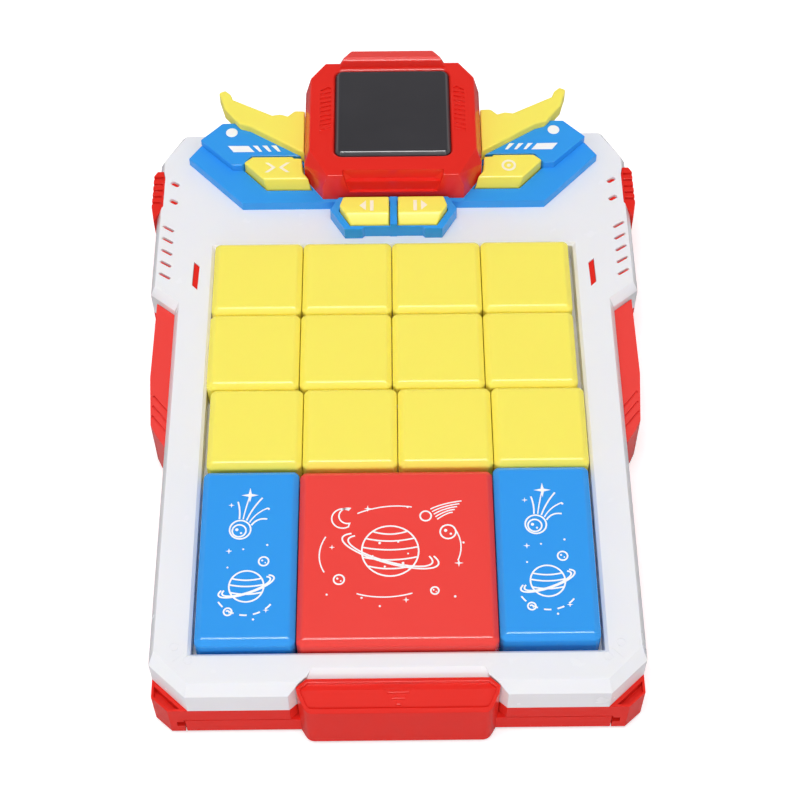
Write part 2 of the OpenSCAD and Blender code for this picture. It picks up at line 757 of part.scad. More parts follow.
module wing_deck() {
    bar_half = 1.15;
    bar_z = surround_z + 1.6;
    flange_room_z = key_floor_z + flange_t + slide_gap;
    color("#2F96EE") at_tray_back() difference() {
        union() {
            prism(both_sides(deck_side), case_z, deck_z);
            prism(both_sides(surround_side), case_z, surround_z);
            centred_box(bar_half, arrow_key_pts[0][1] - 1, arrow_key_pts[4][1] + 1, case_z, bar_z);
        }
        both() {
            key_hole(wing_key_pts, case_z - 1, deck_z + 1);
            key_hole(arrow_key_pts, case_z - 1, surround_z - eps);
            translate([0, 0, surround_z - 2 * eps]) linear_extrude(3) difference() {
                offset(delta = slide_gap) polygon(arrow_key_pts);
                translate([0, -wide_half]) square([bar_half, 2 * wide_half]);
            }
            flange(wing_key_pts, slide_gap, case_z - 1, flange_room_z);
            flange(arrow_key_pts, slide_gap, case_z - 1, flange_room_z);
            for (p = head_post_at) translate([p[0], p[1], case_z - 1])
                cylinder(d = screw_d + 0.2, h = deck_t + 2);
        }
        ribbon_hole(case_z - 1, deck_z + 1);
    }
}

module wing_cap() {
    at_tray_back() difference() {
        prism(cap_side, deck_z, cap_z);
        for (p = horn_peg_at) translate([p[0], p[1], cap_z - horn_peg_len - slide_gap])
            cylinder(d = horn_peg_d + 2 * seat_gap, h = horn_peg_len + 1);
    }
}

module wing_cap_left() { color("#2F96EE") mirror([1, 0, 0]) wing_cap(); }

module wing_cap_right() { color("#2F96EE") wing_cap(); }

module wing_horn() {
    at_tray_back() {
        difference() {
            prism(horn_pts, horn_z - horn_t, horn_z);
            grown_prism(cap_side, seat_gap, deck_z, cap_z);
        }
        for (p = horn_peg_at) translate([p[0], p[1], cap_z - horn_peg_len])
            cylinder(d = horn_peg_d, h = horn_peg_len + 1);
    }
}

module wing_horn_left() { color("#FDEE62") mirror([1, 0, 0]) wing_horn(); }

module wing_horn_right() { color("#FDEE62") wing_horn(); }

// A button with a sloping front, a retaining flange and a stem
module key(pts, stem_at, top_z, slope_z, slope_run) {
    front = pts[0][1];
    at_tray_back() {
        intersection() {
            prism(pts, key_floor_z, top_z);
            through_width(wide_half) polygon([
                [front - 1, key_floor_z - 1], [front - 1, slope_z - eps], [front, slope_z],
                [front + slope_run, top_z], [front + wide_half, top_z], [front + wide_half, key_floor_z - 1]
            ]);
        }
        flange(pts, 0, key_floor_z, key_floor_z + flange_t);
        translate([stem_at[0], stem_at[1], stem_end_z])
            cylinder(d = stem_d, h = key_floor_z - stem_end_z + 1);
    }
}

module wing_key() { key(wing_key_pts, wing_stem_at, deck_z + wing_key_rise, deck_z, 1.6); }

module arrow_key() { key(arrow_key_pts, arrow_stem_at, surround_z + arrow_key_rise, surround_z, 3.2); }

module versus_button() { color("#FDEE62") mirror([1, 0, 0]) wing_key(); }

module hint_button() { color("#FDEE62") wing_key(); }

module previous_button() { color("#FDEE62") mirror([1, 0, 0]) arrow_key(); }

module next_button() { color("#FDEE62") arrow_key(); }

// Rubber dome that returns a button
module dome(at) {
    base_d = stem_d + 4;
    skin = 0.6;
    color("#D9D9D2") at_tray_back() translate([at[0], at[1], board_z + board_t]) rotate_extrude()
        polygon([
            [0, dome_h - skin], [0, dome_h], [stem_d / 2, dome_h], [base_d / 2 - skin, skin],
            [base_d / 2, skin], [base_d / 2, 0], [base_d / 2 - 2 * skin, 0],
            [stem_d / 2 - skin / 2, dome_h - skin]
        ]);
}

module versus_dome() { dome([-wing_stem_at[0], wing_stem_at[1]]); }

module hint_dome() { dome(wing_stem_at); }

module previous_dome() { dome([-arrow_stem_at[0], arrow_stem_at[1]]); }

module next_dome() { dome(arrow_stem_at); }

// ---- display head ----

// Prism over the screen window's outline grown by a margin, with rounded corners
module window_box(margin, z0, z1) {
    half = window_half + window_bevel + margin;
    y0 = window_front - window_bevel - margin;
    y1 = window_front + window_len + window_bevel + margin;
    r = max(0.4, window_corner + margin);
    prism(both_sides(concat(
        [for (a = [-90:22.5:0]) [half - r + r * cos(a), y0 + r + r * sin(a)]],
        [for (a = [0:22.5:90]) [half - r + r * cos(a), y1 - r + r * sin(a)]]
    )), z0, z1);
}

// Stepped chin between the feet of the head, with flanks that close in towards its foot and back
module chin_cut() {
    back = chin_y[2] + 0.5;
    intersection() {
        through_width(head_half) polygon([
            [head_front - 1, deck_z - 1], [chin_y[0], deck_z - 1], [chin_y[0], chin_z[0]],
            [chin_y[1], chin_z[0]], [chin_y[1], chin_z[1]], [chin_y[2], chin_z[1]],
            [chin_y[2], head_z + 1], [head_front - 1, head_z + 1]
        ]);
        hull() {
            prism(both_sides([[chin_half, head_front - 1], [chin_half, back]]), head_z + 1, head_z + 1 + eps);
            prism(both_sides([[chin_foot_half, head_front - 1], [chin_foot_half - chin_foot_taper, back]]),
                deck_z - 1 - eps, deck_z - 1);
        }
    }
}

// Crown ridge behind the screen, narrower at its top
module crown() {
    back = crown_reach;
    foot = both_sides([[crown_half, crown_front - 1], [crown_half - 0.7, head_back],
        [crown_half - 4.7, back + 1]]);
    ridge = both_sides([[crown_half - 1.8, crown_front - 1], [crown_half - 2.2, crown_ridge],
        [crown_half - 6.1, back + 1]]);
    intersection() {
        through_width(head_half) polygon([
            [crown_front, head_z - head_wall], [crown_front, head_z], [crown_front + 0.9, crown_z - 0.6],
            [crown_ridge, crown_z], [back, crown_z - 1.3], [back, head_z - 7], [head_back - 1, head_z - 10]
        ]);
        union() {
            prism(foot, deck_z, head_z);
            hull() {
                prism(foot, head_z - eps, head_z);
                prism(ridge, crown_z, crown_z + eps);
            }
        }
    }
}

// Recessed fields of slanted ribs beside the screen
module rib_field_cut() {
    ribs = 9;
    pitch = 2.1;
    rib_w = 1;
    depth = 0.6;
    floor_z = head_z - depth;
    difference() {
        prism(rib_field_pts, floor_z, head_z + 1);
        for (i = [0:ribs - 1])
            translate([rib_field_in + 1.7, rib_field_y + 4.5 + i * pitch, floor_z - 1]) rotate(-13.5)
                centred_box(rib_field_in, -rib_w / 2, rib_w / 2, 0, 1 + depth - seat_gap);
    }
}

module head_shell() {
    color("#E8352B") at_tray_back() difference() {
        union() {
            hull() {
                prism(both_sides(head_side), deck_z, head_z - head_lean_drop);
                prism(both_sides(head_top), head_z - eps, head_z);
            }
            crown();
        }
        // Hollow inside, round the chin, the window seat, the posts and the display bosses
        difference() {
            grown_prism(both_sides(head_side), -head_wall, deck_z - 1, head_z - head_wall);
            centred_box(chin_half + head_wall, head_front, chin_back, deck_z - 2, head_z);
            window_box(head_wall + slide_gap, window_seat_z - seat_ring_t, head_z);
            post_pairs(head_post_at) translate([0, 0, deck_z]) cylinder(d = head_post_d, h = head_h);
            post_pairs(display_boss_at) translate([0, 0, display_board_z + board_t])
                cylinder(d = display_boss_d, h = head_h);
        }
        window_box(seat_gap, window_seat_z, head_z + 1);
        window_box(-seat_ring_in, window_seat_z - seat_ring_t - 1, head_z + 1);
        hull() {
            window_box(seat_gap, head_z - window_lip, head_z - window_lip + eps);
            window_box(seat_gap + window_lip, head_z, head_z + eps);
        }
        chin_cut();
        both() rib_field_cut();
        post_pairs(head_post_at) translate([0, 0, deck_z - 1])
            cylinder(d = screw_d + 0.1, h = head_screw_hold + 2);
        post_pairs(display_boss_at) translate([0, 0, display_board_z])
            cylinder(d = small_screw_d + 0.1, h = board_t + display_screw_hold + 0.4);
    }
}

module screen_window() {
    color("#2B2A2D") at_tray_back() hull() {
        window_box(0, window_seat_z, window_z - window_bevel);
        window_box(-window_bevel, window_z - eps, window_z);
    }
}

module screen_gasket() {
    z0 = window_seat_z - seat_ring_t - gasket_t;
    color("#1C1C1E") at_tray_back() difference() {
        window_box(-0.8, z0, z0 + gasket_t);
        window_box(-seat_ring_in, z0 - 1, z0 + gasket_t + 1);
    }
}

module display_module() {
    color("#3A3B40") at_tray_back() window_box(-0.8, display_z, display_z + display_t);
}

module display_board() {
    ear = 1.7;
    color("#1F6B3A") at_tray_back() difference() {
        union() {
            centred_box(window_half - 0.4, chin_back + 0.8, head_back - head_wall - 0.8, display_board_z,
                display_board_z + board_t);
            for (p = display_boss_at)
                centred_box(p[0] + ear, p[1] - ear, p[1] + ear, display_board_z, display_board_z + board_t);
        }
        post_pairs(display_boss_at) translate([0, 0, display_board_z - 1])
            cylinder(d = small_screw_d + 0.4, h = board_t + 2);
    }
}

module display_ribbon() {
    color("#C9A24B") at_tray_back()
        centred_box(ribbon_half, ribbon_y, ribbon_y + ribbon_t, board_z + board_t, display_board_z);
}

// ---- electronics ----

module main_board() {
    chip = [12, 12, 1.4];
    plug = [6, 4, 3];
    plug_back = 42;
    plug_x = 18;
    color("#1F6B3A") at_tray_back() {
        difference() {
            centred_box(board_half, board_y0, board_y1, board_z, board_z + board_t);
            post_pairs(board_screw_at) translate([0, 0, board_z - 1])
                cylinder(d = small_screw_d + 0.4, h = board_t + 2);
            post_pairs(head_post_at) translate([0, 0, board_z - 1])
                cylinder(d = head_of_screw_d + 1, h = board_t + 2);
        }
        translate([-chip[0] / 2, board_y0 + 16, board_z - chip[2]]) cube(chip);
        for (s = [-1, 1]) translate([s * plug_x - plug[0] / 2, plug_back - plug[1], board_z - plug[2]])
            cube(plug);
    }
}

module speaker() {
    rim_t = 1.5;
    rim_w = 2;
    color("#2A2A2C") at_tray_back() translate([speaker_at[0], speaker_at[1], base_z + wall]) {
        difference() {
            cylinder(d = speaker_d, h = rim_t);
            translate([0, 0, -eps])
                cylinder(d1 = speaker_d - 2 * rim_w, d2 = speaker_d - 6 * rim_w, h = rim_t - 0.6);
        }
        translate([0, 0, rim_t]) cylinder(d = speaker_d * 0.55, h = speaker_h - rim_t);
    }
}

module battery_cover() {
    groove_w = 1;
    groove_pitch = 2.2;
    color("#E8352B") difference() {
        translate([0, 0, base_z]) linear_extrude(cover_t) {
            cover_plan(0);
            cover_ear(0);
        }
        translate([cover_screw_at[0], cover_screw_at[1], base_z - 1]) {
            cylinder(d = small_screw_d + 0.4, h = cover_t + 2);
            cylinder(d = small_screw_d * 2 + 2 * seat_gap, h = cover_screw_sink + 1);
        }
        for (i = [0:3]) translate([0, battery_box_y0 + 3 + i * groove_pitch, base_z])
            centred_box(6, 0, groove_w, -1, groove_w / 2);
    }
}

function battery_y(i) = battery_box_y0 + cell_gap + battery_d / 2 + i * (battery_d + cell_gap);

module battery_cells() {
    nub_d = 3.8;
    nub_h = 0.8;
    for (i = [0:battery_count - 1]) color("#3F6E4A")
        translate([0, battery_y(i), battery_axis_z])
            rotate([0, (i % 2 == 0) ? 90 : -90, 0]) translate([0, 0, -battery_len / 2]) {
                cylinder(d = battery_d, h = battery_len - nub_h);
                translate([0, 0, battery_len - nub_h]) cylinder(d = nub_d, h = nub_h);
            }
}

// Contact plates against the ends of the box, each with a raised pad that meets its cell
module battery_contacts() {
    plate_t = 0.5;
    pad_d = 8;
    plate_half = pad_d / 2 + plate_t;
    for (i = [0:battery_count - 1]) for (s = [-1, 1]) color("#B9BCC0")
        translate([s * battery_len / 2, battery_y(i), battery_axis_z]) rotate([0, s * 90, 0]) {
            cylinder(d1 = pad_d / 2, d2 = pad_d, h = contact_room - plate_t);
            centred_box(pad_d / 2, -plate_half, plate_half, contact_room - plate_t, contact_room);
        }
}

module battery_leads() {
    x0 = lead_hole_x + lead_hole[0] / 2;
    y0 = battery_box_y1 - 0.5;
    y1 = tray_back_y + board_y0 + 8;
    for (s = [-1, 1]) color(s < 0 ? "#C22A22" : "#1C1C1E") translate([x0 + s * 1.5, 0, 0])
        wire([[0, y0, lead_z], [0, y1, lead_z], [0, y1, board_z]], small_wire_d);
}

module power_switch() {
    body_w = knob_w + switch_travel + 3;
    body_d = 4;
    body_h = knob_h + 3;
    color("#8E9096") difference() {
        translate([switch_x - body_w / 2, rear_y - wall - body_d, switch_z - body_h / 2])
            cube([body_w, body_d, body_h]);
        translate([switch_x - (knob_w + switch_travel) / 2 - slide_gap, rear_y - wall - 2,
            switch_z - knob_h / 2 - slide_gap])
            cube([knob_w + switch_travel + 2 * slide_gap, 3, knob_h + 2 * slide_gap]);
    }
}

module switch_slider() {
    knob_out = 1.2;
    color("#1C1C1E") translate([switch_x - (knob_w + switch_travel) / 2, rear_y - wall - 2 + slide_gap,
        switch_z - knob_h / 2]) cube([knob_w, wall + 2 - slide_gap + knob_out, knob_h]);
}

// ---- drawer ----

module storage_drawer() {
    y0 = front_y + drawer_face_t;
    y1 = y0 + drawer_len;
    inner_z = drawer_floor_z + drawer_wall;
    bin_y0 = front_y + notch_depth;
    color("#E8352B") difference() {
        union() {
            centred_box(drawer_body_half, y0, y1, drawer_floor_z, side_wall_top_z);
            centred_box(bin_half + drawer_wall, bin_y0, y1, drawer_floor_z, bin_top_z);
        }
        difference() {
            centred_box(drawer_body_half - drawer_wall, y0 + drawer_wall, y1 - drawer_wall, inner_z, split_z);
            centred_box(bin_half + drawer_wall, y0, y1, drawer_floor_z, split_z + 1);
        }
        centred_box(bin_half, bin_y0 + drawer_wall, y1 - drawer_wall, inner_z, split_z + 1);
        grown_prism(pull_pts, seat_gap, base_z, split_z + 1);
    }
}

// Low front panel and the tall pull, with a framed recess in its sloping face and a stack of bars
module drawer_front() {
    front = front_y - pull_out;
    steep = pull_fall / (pull_brow_y - front);
    rim_w = 1.1;
    strip_z = pull_top_z - 1.4;
    strip_y = [front_y + 1.3, pull_back_y - 1.3];
    recess_foot = [front + 0.9, pull_front_z + 0.2];
    recess_steep = (strip_z - recess_foot[1]) / (strip_y[0] - recess_foot[0]);
    bars = 4;
    bar_w = 0.8;
    bar_rise = 0.35;
    bar_pitch = 1.27;
    bar_half = 4.65;
    hollow_z = pull_front_z - 3.3;
    color("#E8352B") difference() {
        union() {
            centred_box(drawer_half, front_y, front_y + drawer_face_t, base_z, base_z + drawer_front_h);
            intersection() {
                prism(pull_pts, base_z, case_z);
                through_width(pull_half + 1) polygon([
                    [front - 1, base_z - 1], [front - 1, pull_front_z - steep], [pull_brow_y, pull_top_z],
                    [pull_back_y + 1, pull_top_z], [pull_back_y + 1, base_z - 1]
                ]);
            }
        }
        // Recess with a flat strip behind its sloping floor
        difference() {
            intersection() {
                through_width(pull_half) polygon([recess_foot, [strip_y[0], strip_z], [strip_y[1], strip_z],
                    [strip_y[1], case_z + 1], [recess_foot[0], case_z + 1]]);
                grown_prism(pull_pts, -rim_w, base_z, case_z + 2);
            }
            for (i = [0:bars - 1]) {
                y = front_y + 2.1 - i * bar_pitch;
                centred_box(bar_half * (1 - i * 0.285), y - bar_w / 2, y + bar_w / 2, base_z,
                    min(strip_z, strip_z + (y - strip_y[0]) * recess_steep) + bar_rise);
            }
        }
        // Hollow of the pull, open underneath
        grown_prism(pull_pts, -wall, base_z - 1, hollow_z);
    }
}

// ---- fasteners and feet ----

module case_screws() {
    color("#9A9CA0") post_pairs(post_at) translate([0, 0, post_floor_z - head_of_screw_h])
        screw(screw_d, split_z + case_screw_hold - post_floor_z, head_of_screw_d, head_of_screw_h);
}

module board_screws() {
    head_t = 1.2;
    color("#9A9CA0") at_tray_back() {
        post_pairs(board_screw_at) translate([0, 0, board_z - head_t])
            screw(small_screw_d, board_t + dome_h + 1, small_screw_d * 2, head_t);
        post_pairs(display_boss_at) translate([0, 0, display_board_z - head_t])
            screw(small_screw_d, board_t + display_screw_hold, small_screw_d * 2, head_t);
    }
}

module head_screws() {
    color("#9A9CA0") at_tray_back() post_pairs(head_post_at) translate([0, 0, roof_z - head_of_screw_h])
        screw(screw_d, top_t + deck_t + head_screw_hold, head_of_screw_d, head_of_screw_h);
}

module cover_screw() {
    head_t = cover_screw_sink - seat_gap;
    color("#9A9CA0") translate([cover_screw_at[0], cover_screw_at[1], base_z + cover_screw_sink - head_t])
        screw(small_screw_d, cover_boss_h - 2, small_screw_d * 2, head_t);
}

module rubber_feet() {
    color("#2E2E30") post_pairs(foot_at) difference() {
        cylinder(d = foot_d, h = foot_h + foot_sink);
        translate([0, 0, -eps]) cylinder(d = foot_d - 5, h = 0.3);
    }
}

// ---- sliding blocks ----

// A hollow block over a number of cells, with cut corners and a bevelled top
module block(cells_x, cells_y) {
    w = cells_x * cell - block_gap;
    d = cells_y * cell - block_gap;
    c = block_corner;
    b = block_bevel;
    plan = [[c, 0], [w - c, 0], [w, c], [w, d - c], [w - c, d], [c, d], [0, d - c], [0, c]];
    t = c + b * (sqrt(2) - 1);
    top = [[t, b], [w - t, b], [w - b, t], [w - b, d - t], [w - t, d - b], [t, d - b], [b, d - t], [b, t]];
    difference() {
        hull() {
            prism(plan, 0, block_h - b);
            prism(top, block_h - eps, block_h);
        }
        translate([block_wall, block_wall, -eps])
            cube([w - 2 * block_wall, d - 2 * block_wall, block_h - block_wall + eps]);
    }
}

// Left edge of a column, and front edge of a row counted from the tray's back
function column_x(c, push) = -columns * cell / 2 + block_gap / 2 + c * cell + push * side_play;
function row_y(r, push) = tray_back_y - tray_play / 2 + block_gap - (r + 1) * cell + push * side_play;

module single_block(i) {
    c = i % columns;
    r = floor(i / columns);
    color("#FDEE62") translate([column_x(c, row_push[r]), row_y(r, 0.7), tray_z]) block(1, 1);
}

module long_block(c, push) {
    color("#2F96EE") translate([column_x(c, 0), row_y(single_rows + 1, push), tray_z]) block(1, 2);
}

module long_block_left() { long_block(0, long_push[0]); }

module long_block_right() { long_block(columns - 1, long_push[1]); }

module square_block() {
    color("#F0403E") translate([column_x(1, 0), row_y(single_rows + 1, square_push), tray_z]) block(2, 2);
}

top_shell();
base_shell();
side_grip_left();
side_grip_right();
ribbed_trim_left();
ribbed_trim_right();
slot_backing_left();
slot_backing_right();
wing_deck();
wing_cap_left();
wing_cap_right();
wing_horn_left();
wing_horn_right();
head_shell();
screen_window();
screen_gasket();
display_module();
display_board();
display_ribbon();
versus_button();
hint_button();
previous_button();
next_button();
versus_dome();
hint_dome();
previous_dome();
next_dome();
main_board();
speaker();
battery_cover();
battery_cells();
battery_contacts();
battery_leads();
power_switch();
switch_slider();
storage_drawer();
drawer_front();
case_screws();
board_screws();
head_screws();
cover_screw();
rubber_feet();
long_block_left();
long_block_right();
square_block();
for (i = [0:columns * single_rows - 1])
    single_block(i);
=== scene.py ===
"""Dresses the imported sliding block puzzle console: moulded finishes, edge radii, prints and stage."""

import math

import bmesh
import bpy
from bpy.props import FloatProperty, FloatVectorProperty, PointerProperty
from mathutils import Matrix, Vector


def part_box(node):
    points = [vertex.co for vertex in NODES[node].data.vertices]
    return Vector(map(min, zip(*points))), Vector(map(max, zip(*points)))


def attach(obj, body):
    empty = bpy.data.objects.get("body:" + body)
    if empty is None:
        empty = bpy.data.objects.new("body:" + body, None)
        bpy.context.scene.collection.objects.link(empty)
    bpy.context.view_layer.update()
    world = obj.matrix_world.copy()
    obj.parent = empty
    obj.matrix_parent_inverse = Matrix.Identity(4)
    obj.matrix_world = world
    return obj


bl_info = {
    "name": "Sliding Block Puzzle Console",
    "version": (1, 0, 0),
    "blender": (4, 5, 0),
    "location": "View3D > Sidebar > Puzzle",
    "description": "Finishes, prints, lights and camera for the console's CAD parts",
    "category": "Object",
}

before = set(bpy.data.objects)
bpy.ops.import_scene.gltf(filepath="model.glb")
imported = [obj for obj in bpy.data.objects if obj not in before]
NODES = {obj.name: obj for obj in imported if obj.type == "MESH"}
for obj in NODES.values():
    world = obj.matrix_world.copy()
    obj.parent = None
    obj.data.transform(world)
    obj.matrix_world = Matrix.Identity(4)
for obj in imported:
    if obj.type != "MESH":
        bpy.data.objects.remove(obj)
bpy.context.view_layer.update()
MM = 0.001
WHITE = (1.0, 1.0, 1.0, 1.0)

SINGLE_BLOCKS = sorted((n for n in NODES if n.startswith("single_block_")), key=lambda n: int(n[13:]))
LONG_BLOCKS = ["long_block_left", "long_block_right"]

# Moulded plastic
FLOW_MM = 26.0  # width of the faint clouds in the colour
FLOW_SPREAD = 0.015  # how much the clouds lighten and darken it
POLISH_MM = 7.0  # width of the patches of duller skin
GRAIN_MM = 0.7  # width of the skin's grain, coarser than it really is so that it shows
GRAIN_DEPTH = 0.004 * MM
GLOSS_LEVEL = 0.2  # strength of the gloss, where 0.5 is that of a polished moulding

# Edge radii
EDGE_ANGLE = math.radians(25.0)  # outward bends over this are rounded
CRISP_ANGLE = math.radians(31.0)  # bends over this stay sharp where they aren't rounded
EDGE_SEGMENTS = 3
EDGE_ROOM = 2.1  # rounding widths of room that the faces beside a rounded edge need
WELD_REACH = 0.002 * MM  # points nearer than this are one
FLAT_ANGLE = math.radians(0.5)  # faces that meet flatter than this are one

# Prints
CURVE_STEPS = 12
SHAPE_LIFT = 0.0005 * MM  # each shape of a print ends this much higher than the last

# Stage
FLOOR_HALF = 1.5  # metres
FLOOR_DROP = 0.05 * MM
FLOOR_LIFT = 0.45  # light added to the floor where the camera sees it
SENSOR_MM = 36.0
CAMERA_AT = Vector((0.12, -333.83, 503.35)) * MM
CAMERA_YAW = math.radians(0.2469)
CAMERA_ROLL = math.radians(0.37)


def srgb(text):
    """Linear colour of a hex sRGB value such as '#F1F1F4'."""
    values = [int(text[i:i + 2], 16) / 255 for i in (1, 3, 5)]
    return [v / 12.92 if v <= 0.04045 else ((v + 0.055) / 1.055) ** 2.4 for v in values]


def shade(colour, factor):
    """The same colour lighter or darker, as RGBA."""
    return [min(1.0, c * factor) for c in colour[:3]] + [1.0]


# ---- settings ----


class PuzzleColours(bpy.types.PropertyGroup):
    """Colours of the moulded plastics and prints."""

    white: FloatVectorProperty(
        name="Case white", description="Colour of the white ABS case top",
        subtype="COLOR", size=3, default=srgb("#EEEEF2"))
    red: FloatVectorProperty(
        name="Case red", description="Colour of the red ABS base, head and drawer",
        subtype="COLOR", size=3, default=srgb("#E6291F"))
    block_red: FloatVectorProperty(
        name="Light red", description="Colour of the square block and the side grips",
        subtype="COLOR", size=3, default=srgb("#F04842"))
    blue: FloatVectorProperty(
        name="Blue", description="Colour of the blue ABS deck, caps and long blocks",
        subtype="COLOR", size=3, default=srgb("#359DF0"))
    yellow: FloatVectorProperty(
        name="Yellow", description="Colour of the yellow ABS blocks, buttons and horns",
        subtype="COLOR", size=3, default=srgb("#FFED66"))
    window: FloatVectorProperty(
        name="Window", description="Colour of the smoked acrylic window",
        subtype="COLOR", size=3, default=srgb("#353438"))
    ink: FloatVectorProperty(
        name="Print", description="Colour of the white pad print",
        subtype="COLOR", size=3, default=srgb("#FBFBFD"))
    key_ink: FloatVectorProperty(
        name="Button print", description="Colour of the cream symbols on the buttons",
        subtype="COLOR", size=3, default=srgb("#FFF6DC"))


class PuzzleSizes(bpy.types.PropertyGroup):
    """Edge radii and print sizes."""

    shell_edge: FloatProperty(
        name="Shell edge", description="Edge rounding of the two case shells, the grips and the drawer",
        unit="LENGTH", default=0.45 * MM, min=0.0, precision=5)
    block_edge: FloatProperty(
        name="Block edge", description="Edge rounding of the sliding blocks",
        unit="LENGTH", default=0.5 * MM, min=0.0, precision=5)
    trim_edge: FloatProperty(
        name="Trim edge", description="Edge rounding of the deck, caps, horns and head",
        unit="LENGTH", default=0.7 * MM, min=0.0, precision=5)
    key_edge: FloatProperty(
        name="Button edge", description="Edge rounding of the four buttons",
        unit="LENGTH", default=0.6 * MM, min=0.0, precision=5)
    print_thickness: FloatProperty(
        name="Print thickness", description="Height of the pad print over the plastic",
        unit="LENGTH", default=0.04 * MM, min=0.0, precision=6)
    line_width: FloatProperty(
        name="Print line", description="Width of the lines in the block prints",
        unit="LENGTH", default=0.5 * MM, min=0.0, precision=5)


class PuzzleStage(bpy.types.PropertyGroup):
    """Camera, lamps and floor."""

    lens: FloatProperty(
        name="Lens", description="Focal length of the camera on a 36 mm sensor",
        subtype="NONE", default=80.04, min=10.0)
    pitch: FloatProperty(
        name="Pitch", description="Tilt of the camera up from straight down",
        subtype="ANGLE", default=math.radians(33.746))
    key_power: FloatProperty(
        name="Key lamp", description="Power of the large lamp overhead",
        subtype="POWER", default=5.2, min=0.0)
    fill: FloatProperty(
        name="Fill", description="Strength of the soft light from all round",
        default=0.62, min=0.0)


def colours():
    """The colour settings of this scene."""
    return bpy.context.scene.puzzle_colours


def sizes():
    """The size settings of this scene."""
    return bpy.context.scene.puzzle_sizes


# ---- materials ----


def add_node(tree, kind, feeds=None, **settings):
    """Adds a node; settings are its own values and feeds go to its sockets, as values or links."""
    made = tree.nodes.new(kind)
    for name, value in settings.items():
        setattr(made, name, value)
    for socket, value in (feeds or {}).items():
        if isinstance(value, bpy.types.NodeSocket):
            tree.links.new(value, made.inputs[socket])
        else:
            made.inputs[socket].default_value = value
    return made


def new_material(name):
    """A node material with an empty tree, and that tree."""
    mat = bpy.data.materials.new(name)
    mat.use_nodes = True
    mat.node_tree.nodes.clear()
    return mat, mat.node_tree


def surface_noise(tree, size_mm, detail):
    """Noise whose lumps are about size_mm across, in the part's own metres."""
    coords = add_node(tree, "ShaderNodeTexCoord")
    return add_node(tree, "ShaderNodeTexNoise",
                    {"Vector": coords.outputs["Object"], "Scale": 1000.0 / size_mm, "Detail": detail})


def surfaced(mat, tree, feeds):
    """Ends a material with a Principled shader fed as given."""
    shader = add_node(tree, "ShaderNodeBsdfPrincipled", feeds)
    add_node(tree, "ShaderNodeOutputMaterial", {"Surface": shader.outputs["BSDF"]})
    return mat


def tinted(tree, noise, colour, dark, light):
    """A colour that runs from a darker to a lighter shade with a noise."""
    return add_node(tree, "ShaderNodeMix", {
        "Factor": noise.outputs["Fac"], "A": shade(colour, dark),
        "B": shade(colour, light)}, data_type="RGBA").outputs["Result"]


def ranged(tree, noise, low, high, spread=0.5):
    """A value that runs from low to high as a noise runs over the spread to either side of its middle."""
    return add_node(tree, "ShaderNodeMapRange", {
        "Value": noise.outputs["Fac"], "From Min": 0.5 - spread, "From Max": 0.5 + spread,
        "To Min": low, "To Max": high}).outputs["Result"]


def bumped(tree, noise, strength, depth):
    """A surface normal with fine bumps."""
    return add_node(tree, "ShaderNodeBump", {
        "Height": noise.outputs["Fac"], "Strength": strength, "Distance": depth}).outputs["Normal"]


def moulded_abs(name, colour, roughness, depth_mm=0.4):
    """Injection moulded ABS: even colour with faint flow shading, soft gloss and a fine skin grain.

    Light spreads depth_mm under the skin, which gives the plastic a slightly milky depth.
    """
    mat, tree = new_material(name)
    flow = surface_noise(tree, FLOW_MM, 3.0)
    polish = surface_noise(tree, POLISH_MM, 4.0)
    skin = surface_noise(tree, GRAIN_MM, 1.0)
    return surfaced(mat, tree, {
        "Base Color": tinted(tree, flow, colour, 1.0 - FLOW_SPREAD, 1.0 + FLOW_SPREAD),
        "Roughness": ranged(tree, polish, roughness - 0.01, roughness + 0.015, spread=0.2),
        "IOR": 1.5, "Specular IOR Level": GLOSS_LEVEL, "Normal": bumped(tree, skin, 0.04, GRAIN_DEPTH),
        "Subsurface Weight": depth_mm * 0.5, "Subsurface Scale": depth_mm * MM,
        "Subsurface Radius": (1.0, 0.8, 0.5)})


def smoked_acrylic():
    """Polished smoked acrylic lens: near black, mirror smooth, with a faint sheen of wiping marks."""
    mat, tree = new_material("smoked_acrylic")
    wipe = surface_noise(tree, 18.0, 2.0)
    return surfaced(mat, tree, {
        "Base Color": tinted(tree, wipe, colours().window, 0.9, 1.15),
        "Roughness": ranged(tree, wipe, 0.08, 0.16), "IOR": 1.49})


def pad_print(name, colour):
    """Pad printed ink: opaque, a little duller than the plastic, with a thin uneven film."""
    mat, tree = new_material(name)
    film = surface_noise(tree, 1.2, 3.0)
    return surfaced(mat, tree, {
        "Base Color": tinted(tree, film, colour, 0.95, 1.0),
        "Roughness": ranged(tree, film, 0.38, 0.5)})


def plain_finish(name, colour, roughness, metal=0.0, grain_mm=1.0):
    """Small inner parts: board lacquer, rubber, foam or plated steel with a fine mottled surface."""
    mat, tree = new_material(name)
    mottle = surface_noise(tree, grain_mm, 3.0)
    return surfaced(mat, tree, {
        "Base Color": tinted(tree, mottle, colour, 0.85, 1.12),
        "Roughness": ranged(tree, mottle, roughness * 0.85, roughness * 1.15),
        "Metallic": metal, "Normal": bumped(tree, mottle, 0.2, 0.02 * MM)})


def dress(names, mat):
    """Puts one material on CAD nodes."""
    for name in names:
        slots = NODES[name].data.materials
        slots.clear()
        slots.append(mat)


# ---- edge radii ----


def node_group(name):
    """A new geometry node group that takes and gives a mesh, with its input node."""
    tree = bpy.data.node_groups.new(name, "GeometryNodeTree")
    tree.interface.new_socket("Geometry", in_out="INPUT", socket_type="NodeSocketGeometry")
    tree.interface.new_socket("Geometry", in_out="OUTPUT", socket_type="NodeSocketGeometry")
    return tree, add_node(tree, "NodeGroupInput")


